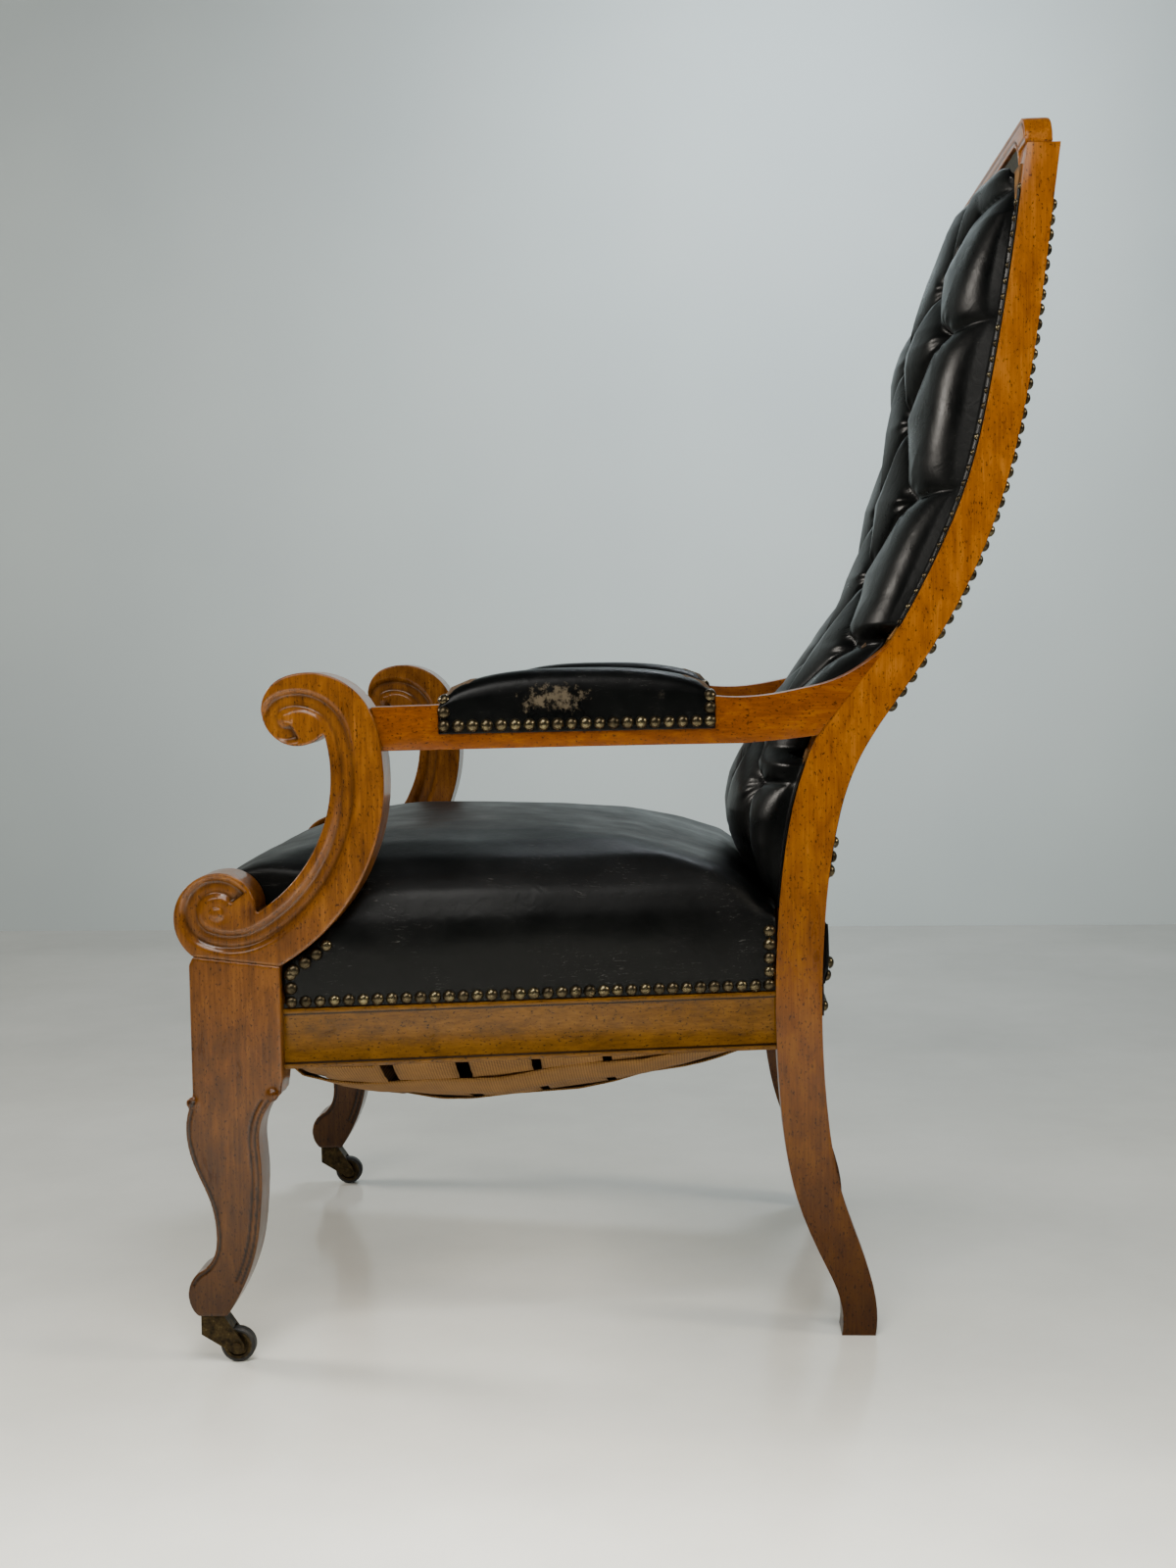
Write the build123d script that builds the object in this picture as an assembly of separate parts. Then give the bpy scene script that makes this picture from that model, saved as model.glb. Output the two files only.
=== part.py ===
from build123d import *
import os
from math import atan2, cos, degrees, hypot, pi, radians, sin, sqrt

os.makedirs("parts", exist_ok=True)

# The chair stands on z = 0 with its front towards -Y and the sitter's left towards +X.
# The origin lies on the floor under the middle of the overall box.

# Overall sizes of the frame
half_depth = 403.0
post_height = 1103.0
arm_joint_z = 654.08
arm_joint_share = 0.593
front_half_width = 309.0
rear_half_width = 220.0
overrun = 20.0

# Clearances
soft_clearance = 0.3
glue_clearance = 0.05
running_clearance = 0.05

# Back posts, which are also the rear legs, in side view
post_thickness = 35.0
post_front_upper_shares = (
    (0.926, 1.000), (0.888, 0.893), (0.851, 0.813), (0.799, 0.731), (0.717, 0.658), (0.620, 0.593))
post_front_lower_shares = (
    (0.452, 0.517), (0.402, 0.465), (0.370, 0.397), (0.355, 0.256), (0.365, 0.197),
    (0.395, 0.127), (0.459, 0.067), (0.499, 0.033), (0.504, 0.000))
post_rear_shares = (
    (1.000, 1.000), (0.968, 0.900), (0.935, 0.813), (0.886, 0.730), (0.806, 0.650), (0.655, 0.557),
    (0.543, 0.493), (0.484, 0.413), (0.4645, 0.335), (0.4615, 0.2665), (0.474, 0.191),
    (0.509, 0.120), (0.561, 0.065), (0.586, 0.024), (0.583, 0.000))

# Front legs, cabriole in side view, cut from one plank
caster_height = 48.0
leg_length = 324.0
leg_thickness = 38.0
leg_block_depth = 83.0
leg_rear_y = -307.0
leg_front_shares = (
    (1.036, 0.602), (1.084, 0.546), (1.000, 0.426), (0.843, 0.330), (0.783, 0.247), (0.831, 0.164),
    (0.964, 0.130))
leg_toe_shares = ((0.964, 0.130), (1.108, 0.074), (1.012, 0.000))
leg_rear_shares = (
    (0.687, 0.000), (0.482, 0.090), (0.349, 0.185), (0.277, 0.315), (0.265, 0.438), (0.277, 0.528),
    (0.181, 0.596), (0.024, 0.636))
leg_front_bead_share = 0.623
leg_rear_bead_share = 0.679

# Arm scrolls: a C band between two volutes
scroll_thickness = 44.0
scroll_center_y = -400.0
scroll_center_z = 538.0
scroll_outer_radius = 191.0
scroll_inner_rise = 5.0
scroll_inner_radius = 143.0
shoulder_radius = 62.0
shoulder_start_angle = 16.0
shoulder_end_angle = 110.0
upper_volute_radius = 32.0
lower_volute_y = -361.0
lower_volute_z = 414.0
lower_volute_outer_radius = 42.0
lower_volute_inner_radius = 33.0
lower_volute_end_angle = 233.0
cove_width = 20.0
cove_depth = 4.2
cove_floor_share = 0.78
cove_radius = 158.0
cove_low_angle = -60.0
cove_shoulder_radius = 40.0
cove_upper_spiral_radius = 14.0
cove_upper_spiral_turn = 190.0
cove_lower_bend_radius = 60.0
cove_lower_bend_turn = 50.0
cove_lower_spiral_radius = 24.0
cove_lower_spiral_turn = 215.0
eye_radius = 4.5
eye_rise = 1.5

# Seat frame
rail_bottom_z = 275.0
rail_height = 70.0
rail_thickness = 28.0
rail_face_height = 55.0
rail_rebate = 3.0
bead_height = 5.0
bead_rise = 1.5
side_rail_front_inset = 12.5
side_rail_rear_inset = 2.5
front_rail_inset = 3.0
rear_rail_inset = 16.0
back_bottom_rail_z = 408.0
back_bottom_rail_height = 32.0
back_bottom_rail_depth = 30.0
back_bottom_rail_inset = 4.0
block_front_reach = 78.0
block_rear_reach = 62.0
block_margin = 6.0

# Dowels that hold the frame's joints
dowel_radius = 5.0
dowel_length = 44.0
dowel_spacing = 34.0
rear_dowel_share = 0.25
arm_dowel_share = 0.30
leg_dowel_shares = (0.32, 0.68)
crest_dowel_rise = 11.0

# Crest rail
crest_rise = 27.5
crest_depth = 25.0
crest_setback = 2.0
crest_corner_radius = 27.0
crest_band = 17.5
crest_opening_radius = 30.0

# Arm rails
arm_width = 38.0
arm_height = 39.0
arm_bottom_z = 564.0
arm_rear_width = 35.0
arm_plan_steps = 6
arm_bow_share = 0.5
arm_top_shares = (
    (-0.596, 1.000), (0.216, 1.128), (0.355, 1.154), (0.422, 1.282), (0.491, 1.462), (0.558, 1.821),
    (0.620, 2.308))
arm_bottom_shares = ((-0.596, 0.0), (0.283, 0.0), (0.377, 0.077), (0.452, 0.160))

# Arm pads: leather over stuffing, drawn down over the sides of the arm
arm_pad_front_y = -162.0
arm_pad_rear_y = 88.0
arm_pad_top_z = 634.0
arm_pad_bottom_z = 578.0
arm_pad_overhang = 3.0
arm_pad_station_shares = (
    (0.0, 0.30), (0.03, 0.62), (0.10, 0.86), (0.25, 0.97), (0.50, 1.00), (0.75, 0.97), (0.90, 0.86),
    (0.97, 0.62), (1.0, 0.30))
arm_pad_shoulder_share = 0.42
leather_thickness = 2.4

# Seat cushion, as level slices: shares of its height, of its depth from the front and from the
# rear, and of the width between the side rails
seat_skirt_z = 331.0
seat_top_z = 484.0
seat_front_y = -402.0
seat_rear_share = 0.486
seat_rear_y = seat_rear_share * half_depth
seat_front_bow = 9.0
seat_base_bow_share = 0.1
seat_corner_radius = 24.0
seat_slice_shares = (
    (0.000, 0.018, 0.008, 1.000), (0.124, 0.008, 0.000, 1.012), (0.320, 0.000, 0.000, 1.022),
    (0.386, 0.000, 0.002, 1.022), (0.497, 0.000, 0.089, 1.015), (0.654, 0.010, 0.131, 0.975),
    (0.745, 0.040, 0.161, 0.925), (0.843, 0.084, 0.235, 0.850), (0.922, 0.154, 0.322, 0.730),
    (0.974, 0.236, 0.439, 0.560), (1.000, 0.341, 0.531, 0.370))
front_skirt_z = 284.0
rear_skirt_z = 300.0
hessian_thickness = 1.5
hessian_landing = 12.0
hessian_slope_run = 45.0
hessian_top_z = 404.0

# Webbing under the seat
webbing_thickness = 2.0
webbing_width = 58.0
webbing_pitch = 65.0
webbing_sag = 68.0
webbing_sag_shares = (0.60, 0.88, 1.0, 1.0, 1.0, 0.86, 0.58)
webbing_end_margin = 4.0
webbing_middle_y = -82.0
long_webbing_count = 4
long_webbing_pitch = 85.0

# Springs that stand on the webbing
spring_column_pitch = 110.0
spring_row_pitch = 130.0
spring_end_radius = 38.0
spring_waist_radius = 27.0
spring_wire = 3.6
spring_turns = 4
spring_steps_per_turn = 8

# Back upholstery, laid against the front of the posts
back_half_width = 205.0
back_arm_half_width = 182.0
back_arm_gap = 8.0
back_arm_low_z = arm_bottom_z - back_arm_gap
back_arm_high_z = arm_joint_z + back_arm_gap / 2
back_step = 14.0
back_bottom_z = 416.0
back_top_gap = 1.0
back_top_z = post_height - back_top_gap
back_crown = 72.0
back_crown_shares = (
    (0.377, 0.08), (0.390, 0.25), (0.410, 0.57), (0.4225, 0.67), (0.445, 0.79), (0.470, 0.82),
    (0.500, 0.76), (0.555, 0.81), (0.600, 0.82), (0.635, 0.76), (0.680, 0.85), (0.720, 0.93),
    (0.785, 0.94), (0.840, 0.98), (0.870, 0.92), (0.887, 0.84), (0.920, 0.69), (0.942, 0.60),
    (0.970, 0.49), (0.990, 0.37), (0.999, 0.17))
back_crown_fall_share = 0.62
outer_row_shares = (0.4714, 0.5893, 0.7162, 0.8558)
inner_row_shares = (0.5304, 0.6546, 0.7906, 0.9093)
button_pitch = 135.0
button_seat = 16.0
button_radius = 7.0
button_rise = 3.4
button_depth_share = 0.28
pleat_depth_share = 0.12
pleat_edge_inset = 12.0
back_end_shares = (0.10, 0.45)
back_canvas_thickness = 1.5
back_canvas_bottom_z = 442.0
back_core_thickness = 16.0
back_core_margin = 16.0
back_core_bottom_z = 468.0
back_core_top_gap = 72.0
back_core_top_z = back_top_z - back_core_top_gap

# Leather panel on the back of the posts
outside_back_shares = (
    (0.9845, 0.955), (0.968, 0.900), (0.935, 0.813), (0.886, 0.730), (0.806, 0.650), (0.655, 0.557),
    (0.484, 0.413))
outside_back_half_width = 207.0
outside_back_thickness = 2.0

# Casters under the front legs
caster_plate_radius = 14.0
caster_plate_thickness = 2.4
caster_toe_overhang = 3.0
caster_pin_radius = 4.0
caster_pin_length = 15.0
caster_head_gap = 0.3
caster_trail = 22.0
wheel_radius = 16.0
wheel_width = 11.0
wheel_web = 6.0
wheel_rim_depth = 2.6
tyre_thickness = 3.2
tyre_chamfer = 1.6
hub_radius = 5.5
hub_overhang = 0.6
axle_radius = 2.4
axle_head_radius = 4.2
axle_head_height = 1.4
horn_side_thickness = 3.0
horn_side_gap = 0.9
horn_block_reach = 10.5
horn_block_height = 18.0
horn_wheel_gap = 1.6
horn_eye_radius = 7.0
screw_radius = 1.6
screw_head_radius = 3.1
screw_head_height = 1.2
screw_length = 16.0
screw_circle_radius = 9.6
screw_count = 3


def height_at(share):
    """Height on the posts at a share; the part above the arm joint takes up a change of the post height."""
    if share <= arm_joint_share:
        return arm_joint_z * share / arm_joint_share
    return arm_joint_z + (post_height - arm_joint_z) * (share - arm_joint_share) / (1 - arm_joint_share)


def share_at(z):
    """The share of the posts at a height."""
    if z <= arm_joint_z:
        return arm_joint_share * z / arm_joint_z
    return arm_joint_share + (1 - arm_joint_share) * (z - arm_joint_z) / (post_height - arm_joint_z)


def side_points(shares):
    """Points of a side outline given as shares of the half depth and of the posts."""
    return [(y * half_depth, height_at(z)) for y, z in shares]


def slab(edges, x_start, thickness):
    """A plank whose side outline is drawn in (Y, Z), from x_start towards +X."""
    face = Plane.YZ.offset(x_start) * make_face(edges)
    return extrude(face, amount=thickness, dir=(1, 0, 0))


def prism(points, z_bottom, height):
    """An upright prism over a plan outline of (X, Y) corners."""
    face = make_face(Polyline(*points, close=True))
    return extrude(Pos(0, 0, z_bottom) * face, amount=height, dir=(0, 0, 1))


def both_sides(solid):
    """The left piece as built and its mirror image for the right side."""
    return solid, mirror(solid, about=Plane.YZ)


def polar(center, radius, angle):
    return (center[0] + radius * cos(radians(angle)), center[1] + radius * sin(radians(angle)))


def round_arc(center, radius, start, end):
    """A circular arc in a side view between two angles in degrees."""
    middle = (start + end) / 2
    return ThreePointArc(
        polar(center, radius, start), polar(center, radius, middle), polar(center, radius, end))


def circles_meet(center_a, radius_a, center_b, radius_b, side):
    """Where two circles of a side view cross, on the chosen side of their centre line."""
    dy, dz = center_b[0] - center_a[0], center_b[1] - center_a[1]
    gap = hypot(dy, dz)
    along = (radius_a ** 2 - radius_b ** 2 + gap ** 2) / (2 * gap)
    across = side * sqrt(radius_a ** 2 - along ** 2)
    return (
        center_a[0] + (along * dy - across * dz) / gap,
        center_a[1] + (along * dz + across * dy) / gap)


def angle_of(center, point):
    return degrees(atan2(point[1] - center[1], point[0] - center[0]))


# Side view of the scroll, which the arm rail and the leg meet
scroll_center = (scroll_center_y, scroll_center_z)
scroll_inner_center = (scroll_center_y, scroll_center_z + scroll_inner_rise)
shoulder_center = polar(scroll_center, scroll_outer_radius - shoulder_radius, shoulder_start_angle)
upper_volute_center = polar(
    shoulder_center, shoulder_radius - upper_volute_radius, shoulder_end_angle)
lower_volute_center = (lower_volute_y, lower_volute_z)
lower_roll_center = (lower_volute_y, lower_volute_z + lower_volute_outer_radius - lower_volute_inner_radius)
upper_notch = circles_meet(
    scroll_inner_center, scroll_inner_radius, upper_volute_center, upper_volute_radius, -1)
lower_notch = circles_meet(
    scroll_inner_center, scroll_inner_radius, lower_roll_center, lower_volute_inner_radius, 1)
scroll_toe = polar(lower_volute_center, lower_volute_outer_radius, lower_volute_end_angle)
scroll_heel_drop = sqrt(scroll_outer_radius ** 2 - (leg_rear_y - scroll_center_y) ** 2)
scroll_heel = (leg_rear_y, scroll_center_z - scroll_heel_drop)


def scroll_outline():
    """Outer edge, shoulder, upper volute, inner edge, lower volute and the joint to the leg."""
    heel_angle = angle_of(scroll_center, scroll_heel)
    upper_notch_angle = angle_of(upper_volute_center, upper_notch) + 360
    lower_notch_angle = angle_of(lower_roll_center, lower_notch)
    return [
        round_arc(scroll_center, scroll_outer_radius, heel_angle, shoulder_start_angle),
        round_arc(shoulder_center, shoulder_radius, shoulder_start_angle, shoulder_end_angle),
        round_arc(upper_volute_center, upper_volute_radius, shoulder_end_angle, upper_notch_angle),
        round_arc(
            scroll_inner_center, scroll_inner_radius, angle_of(scroll_inner_center, upper_notch),
            angle_of(scroll_inner_center, lower_notch)),
        round_arc(lower_roll_center, lower_volute_inner_radius, lower_notch_angle, 90),
        round_arc(lower_volute_center, lower_volute_outer_radius, 90, lower_volute_end_angle),
        Line(scroll_toe, scroll_heel)]


def cove_arc(center, radius, start, end, x_face, outward):
    """The carver's cove along one arc of the scroll's face, as a solid to cut away."""
    low, high = min(start, end), max(start, end)
    half = cove_width / 2
    floor = cove_depth * cove_floor_share
    profile = [
        (radius - half, outward * overrun), (radius - half, 0),
        (radius - half / 2, -outward * floor), (radius + half / 2, -outward * floor),
        (radius + half, 0), (radius + half, outward * overrun)]
    plane = Plane(
        origin=(x_face, center[0], center[1]), x_dir=(0, cos(radians(low)), sin(radians(low))),
        z_dir=(0, sin(radians(low)), -cos(radians(low))))
    face = plane * make_face(Polyline(*profile, close=True))
    return revolve(face, axis=Axis((x_face, center[0], center[1]), (1, 0, 0)), revolution_arc=high - low)


def cove_route():
    """The cove's tangent arcs, from the lower volute's eye up the C to the upper volute's eye."""
    shoulder = polar(scroll_center, cove_radius - cove_shoulder_radius, shoulder_start_angle)
    upper = polar(shoulder, cove_shoulder_radius - cove_upper_spiral_radius, shoulder_end_angle)
    bend = polar(scroll_center, cove_radius - cove_lower_bend_radius, cove_low_angle)
    bend_end = cove_low_angle - cove_lower_bend_turn
    lower = polar(bend, cove_lower_bend_radius - cove_lower_spiral_radius, bend_end)
    return [
        (scroll_center, cove_radius, cove_low_angle, shoulder_start_angle),
        (shoulder, cove_shoulder_radius, shoulder_start_angle, shoulder_end_angle),
        (upper, cove_upper_spiral_radius, shoulder_end_angle, shoulder_end_angle + cove_upper_spiral_turn),
        (bend, cove_lower_bend_radius, bend_end, cove_low_angle),
        (lower, cove_lower_spiral_radius, bend_end - cove_lower_spiral_turn, bend_end)]


def arm_scroll():
    """The left scroll with its cove carved on both faces and an eye in each volute."""
    x_inner = front_half_width - scroll_thickness
    solid = slab(scroll_outline(), x_inner, scroll_thickness)
    route = cove_route()
    for x_face, outward in ((front_half_width, 1), (x_inner, -1)):
        for center, radius, start, end in route:
            solid -= cove_arc(center, radius, start, end, x_face, outward)
        for center in (route[2][0], route[4][0]):
            eye = Cylinder(eye_radius, cove_depth + eye_rise, rotation=(0, 90, 0))
            middle = x_face + outward * (eye_rise - cove_depth) / 2
            solid += Pos(middle, center[0], center[1]) * eye
    return solid


def leg_point(share):
    """A point of the leg's side outline from shares of the block's depth and the leg's length."""
    return (leg_rear_y - share[0] * leg_block_depth, caster_height + share[1] * leg_length)


def front_leg():
    """The left cabriole leg with its toe, knee and block, topped by the joint to the scroll."""
    front_y = leg_rear_y - leg_block_depth
    front_bead = (front_y, caster_height + leg_front_bead_share * leg_length)
    rear_bead = (leg_rear_y, caster_height + leg_rear_bead_share * leg_length)
    front = [leg_point(s) for s in leg_front_shares]
    toe = [leg_point(s) for s in leg_toe_shares]
    rear = [leg_point(s) for s in leg_rear_shares]
    shoulder = (front_y, scroll_toe[1] - 2 * (scroll_toe[0] - front_y))
    edges = [
        Line(scroll_toe, shoulder), Line(shoulder, front_bead), Line(front_bead, front[0]),
        Spline(*front), ThreePointArc(*toe), Line(toe[-1], rear[0]), Spline(*rear),
        Line(rear[-1], rear_bead), Line(rear_bead, scroll_heel), Line(scroll_heel, scroll_toe)]
    return slab(edges, front_half_width - leg_thickness, leg_thickness)


def back_post():
    """The left post, one piece from the foot to the crest, with the flat that takes the arm."""
    upper = side_points(post_front_upper_shares)
    lower = side_points(post_front_lower_shares)
    rear = side_points(post_rear_shares)
    edges = [
        Line(rear[0], upper[0]), Spline(*upper), Line(upper[-1], lower[0]), Spline(*lower),
        Line(lower[-1], rear[-1]), Spline(*rear)]
    return slab(edges, rear_half_width - post_thickness, post_thickness)


def side_rail_line(y):
    """Outer face of the left side rail in plan: its x at a given y."""
    front_x = front_half_width - side_rail_front_inset
    rear_x = rear_half_width - side_rail_rear_inset
    rear_y = post_front_lower_shares[3][0] * half_depth
    return front_x + (rear_x - front_x) * (y - leg_rear_y) / (rear_y - leg_rear_y)


def side_rail(post):
    """The left side rail: leather lands on its rebated top, two beads run along its face."""
    front_y = leg_rear_y
    rear_y = post_front_lower_shares[3][0] * half_depth + overrun / 2
    z_face = rail_bottom_z + rail_face_height

    def strip(outset, inset, z_bottom, height):
        plan = [
            (side_rail_line(front_y) + outset, front_y), (side_rail_line(rear_y) + outset, rear_y),
            (side_rail_line(rear_y) - inset, rear_y), (side_rail_line(front_y) - inset, front_y)]
        return prism(plan, z_bottom, height)

    rail = strip(0, rail_thickness, rail_bottom_z, rail_face_height)
    rail += strip(-rail_rebate, rail_thickness, z_face, rail_height - rail_face_height)
    rail += strip(bead_rise, rail_thickness, z_face - bead_height, bead_height)
    rail += strip(bead_rise, rail_thickness, rail_bottom_z, bead_height)
    return rail - post


def cross_rail(half_length, front_y, depth, z_bottom, height):
    """A straight rail from side to side."""
    plan = [
        (-half_length, front_y), (half_length, front_y), (half_length, front_y + depth),
        (-half_length, front_y + depth)]
    return prism(plan, z_bottom, height)


def post_front_at(z):
    """Y of the post's front edge below the arm at a height."""
    edge = Spline(*side_points(post_front_lower_shares))
    return curve_at(edge, z)[0]


def curve_at(edge, z):
    """The point and unit tangent of a rising or falling side curve at a height."""
    low, high = 0.0, 1.0
    rising = (edge @ 1.0).Y > (edge @ 0.0).Y
    for _ in range(40):
        middle = (low + high) / 2
        if ((edge @ middle).Y < z) == rising:
            low = middle
        else:
            high = middle
    point, tangent = edge @ low, edge % low
    up = 1 if tangent.Y > 0 else -1
    return point.X, point.Y, tangent.X * up, tangent.Y * up


def corner_blocks(post):
    """Four glued blocks that brace the seat frame's inner corners."""
    z_bottom = rail_bottom_z + block_margin
    height = rail_height - 2 * block_margin
    leg_inner = front_half_width - leg_thickness
    post_inner = rear_half_width - post_thickness
    front_y = leg_rear_y - leg_block_depth + front_rail_inset + rail_thickness
    rear_y = post_front_at(rail_bottom_z) + rear_rail_inset

    def inner(y):
        return side_rail_line(y) - rail_thickness

    front_side_y = leg_rear_y + block_front_reach
    rear_side_y = rear_y - block_rear_reach
    front = prism([
        (leg_inner - block_front_reach, front_y), (leg_inner, front_y), (leg_inner, leg_rear_y),
        (inner(leg_rear_y), leg_rear_y), (inner(front_side_y), front_side_y)], z_bottom, height)
    corner_y = post_front_at(rail_bottom_z)
    rear = prism([
        (post_inner - block_rear_reach, rear_y), (post_inner, rear_y), (post_inner, corner_y),
        (inner(corner_y), corner_y), (inner(rear_side_y), rear_side_y)], z_bottom, height)
    rear -= post
    blocks = []
    for block in (front, rear):
        blocks += both_sides(block)
    return blocks


def crest_rail():
    """Top rail over the posts: rounded outer corners and a round-cornered opening below."""
    front_y = post_front_upper_shares[0][0] * half_depth - crest_setback
    top_z = post_height + crest_rise
    post_inner = rear_half_width - post_thickness
    band_z = top_z - crest_band
    bracket_z = band_z - crest_opening_radius
    r, c = crest_opening_radius, crest_corner_radius
    edges = [
        Line((-rear_half_width, post_height), (-rear_half_width, top_z - c)),
        round_arc((-rear_half_width + c, top_z - c), c, 180, 90),
        Line((-rear_half_width + c, top_z), (rear_half_width - c, top_z)),
        round_arc((rear_half_width - c, top_z - c), c, 90, 0),
        Line((rear_half_width, top_z - c), (rear_half_width, post_height)),
        Line((rear_half_width, post_height), (post_inner, post_height)),
        Line((post_inner, post_height), (post_inner, bracket_z)),
        round_arc((post_inner - r, bracket_z), r, 0, 90),
        Line((post_inner - r, band_z), (-post_inner + r, band_z)),
        round_arc((-post_inner + r, bracket_z), r, 90, 180),
        Line((-post_inner, bracket_z), (-post_inner, post_height)),
        Line((-post_inner, post_height), (-rear_half_width, post_height))]
    face = Plane.XZ * make_face(edges)
    return extrude(Pos(0, front_y, 0) * face, amount=crest_depth, dir=(0, 1, 0))


def arm_point(share):
    return (share[0] * half_depth, arm_bottom_z + share[1] * arm_height)


def arm_center_x(y):
    """Middle line of the left arm in plan, curving in to run flush along the post."""
    front_y = arm_top_shares[0][0] * half_depth
    rear_y = post_front_upper_shares[-1][0] * half_depth
    front_x = front_half_width - scroll_thickness / 2
    rear_x = rear_half_width - post_thickness / 2
    t = min(max((y - front_y) / (rear_y - front_y), 0), 1)
    return front_x + (rear_x - front_x) * t * (1 + arm_bow_share - arm_bow_share * t * t)


def arm_half_width(y):
    front_y = arm_top_shares[0][0] * half_depth
    rear_y = post_front_upper_shares[-1][0] * half_depth
    t = min(max((y - front_y) / (rear_y - front_y), 0), 1)
    return (arm_width + (arm_rear_width - arm_width) * t) / 2


def arm_rail():
    """The left arm: straight under the pad, then sweeping up to the flat of the post."""
    top = [arm_point(s) for s in arm_top_shares]
    bottom = [arm_point(s) for s in arm_bottom_shares]
    top[-1] = side_points(post_front_upper_shares)[-1]
    bottom[-1] = side_points(post_front_lower_shares)[0]
    side = slab([
        Line(bottom[0], top[0]), Line(top[0], top[1]), Spline(*top[1:]), Line(top[-1], bottom[-1]),
        Spline(*bottom[:0:-1]), Line(bottom[1], bottom[0])], 0, front_half_width + overrun)
    front_y, rear_y = top[0][0], top[-1][0]
    steps = [front_y + (rear_y - front_y) * k / arm_plan_steps for k in range(arm_plan_steps + 1)]
    outer = [(arm_center_x(y) + arm_half_width(y), y) for y in steps]
    inner = [(arm_center_x(y) - arm_half_width(y), y) for y in steps]
    plan = make_face([
        Spline(*outer), Line(outer[-1], inner[-1]), Spline(*inner[::-1]), Line(inner[0], outer[0])])
    column = extrude(plan, amount=post_height, dir=(0, 0, 1))
    face = Plane.YZ * Pos(*scroll_center) * make_face(CenterArc((0, 0, 0), scroll_outer_radius, 0, 360))
    disc = extrude(face, amount=front_half_width + overrun, dir=(1, 0, 0))
    return (side & column) - disc


def dowel(spot, fit=0.0):
    """A dowel through a joint, or its hole when a fit is given."""
    center, direction = spot
    return Plane(origin=center, z_dir=direction) * Cylinder(dowel_radius + fit, dowel_length + 2 * fit)


def mirrored(spots):
    return [((-x, y, z), (-dx, dy, dz)) for (x, y, z), (dx, dy, dz) in spots]


def drilled(solid, spots):
    for spot in spots:
        solid -= dowel(spot, glue_clearance)
    return solid


def doweled_pair(x, y, z, direction):
    """Two dowels one above the other in a rail joint."""
    return [((x, y, z + side * dowel_spacing / 2), direction) for side in (-1, 1)]


def rounded_outline(corners, radius, front_y):
    """Closed plan outline with rounded corners and a bowed front edge, as edges."""
    starts, ends, arcs = [], [], []
    count = len(corners)
    for i, corner in enumerate(corners):
        before, after = corners[i - 1], corners[(i + 1) % count]
        steps = []
        for other in (before, after):
            run = hypot(other[0] - corner[0], other[1] - corner[1])
            steps.append(((other[0] - corner[0]) / run, (other[1] - corner[1]) / run))
        start, end = [(corner[0] + radius * d[0], corner[1] + radius * d[1]) for d in steps]
        cut = radius * (1 - sqrt(0.5))
        middle = tuple(corner[k] + cut * (steps[0][k] + steps[1][k]) for k in (0, 1))
        starts.append(start)
        ends.append(end)
        arcs.append(ThreePointArc(start, middle, end))
    edges = [ThreePointArc(ends[0], (0, front_y), starts[1])]
    edges += [Line(ends[i], starts[(i + 1) % count]) for i in range(1, count)]
    return arcs + edges


def seat_slice(row, inset, drop):
    """One level slice of the cushion, drawn in by an inset."""
    height_share, front_share, rear_share, width_share = row
    depth = seat_rear_y - seat_front_y
    front_y = seat_front_y + front_share * depth + inset
    rear_y = seat_rear_y - rear_share * depth - inset
    corner_y = front_y + seat_front_bow * max(height_share, seat_base_bow_share)
    front_half = side_rail_line(corner_y) * width_share - inset
    rear_half = side_rail_line(rear_y) * width_share - inset
    corners = [(-front_half, corner_y), (front_half, corner_y), (rear_half, rear_y), (-rear_half, rear_y)]
    z = seat_skirt_z + height_share * (seat_top_z - seat_skirt_z) - drop
    return Pos(0, 0, z) * make_face(rounded_outline(corners, seat_corner_radius - inset, front_y))


def seat_form(inset):
    """The cushion's crowned form; a form with an inset also runs out below the skirt."""
    slices = [seat_slice(row, inset, 0) for row in seat_slice_shares[:-1]]
    if inset:
        slices.insert(0, seat_slice(seat_slice_shares[0], inset, overrun))
    slices.append(seat_slice(seat_slice_shares[-1], inset, inset))
    return loft(slices, ruled=True)


def seat_neighbours(gap):
    """Space kept for the scrolls, the legs' blocks and the posts, with a gap around them."""
    scroll_x = front_half_width - scroll_thickness - gap
    circle = CenterArc((scroll_center[0], scroll_center[1], 0), scroll_outer_radius + gap, 0, 360)
    disc = slab([circle], scroll_x, scroll_thickness + overrun)
    leg_x = front_half_width - leg_thickness - gap
    block = prism([
        (leg_x, seat_front_y - overrun), (leg_x + leg_thickness + overrun, seat_front_y - overrun),
        (leg_x + leg_thickness + overrun, leg_rear_y + gap), (leg_x, leg_rear_y + gap)], 0, scroll_toe[1])
    front = [(y - gap, z) for y, z in side_points(post_front_lower_shares)[:5]]
    rear_y = seat_rear_y + overrun
    behind = slab([
        Spline(*front), Line(front[-1], (rear_y, front[-1][1])),
        Line((rear_y, front[-1][1]), (rear_y, front[0][1])), Line((rear_y, front[0][1]), front[0])],
        rear_half_width - post_thickness - gap, post_thickness + overrun)
    return both_sides(disc) + both_sides(block) + both_sides(behind)


def less(solid, cuts):
    for cut in cuts:
        solid -= cut
    return solid


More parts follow.
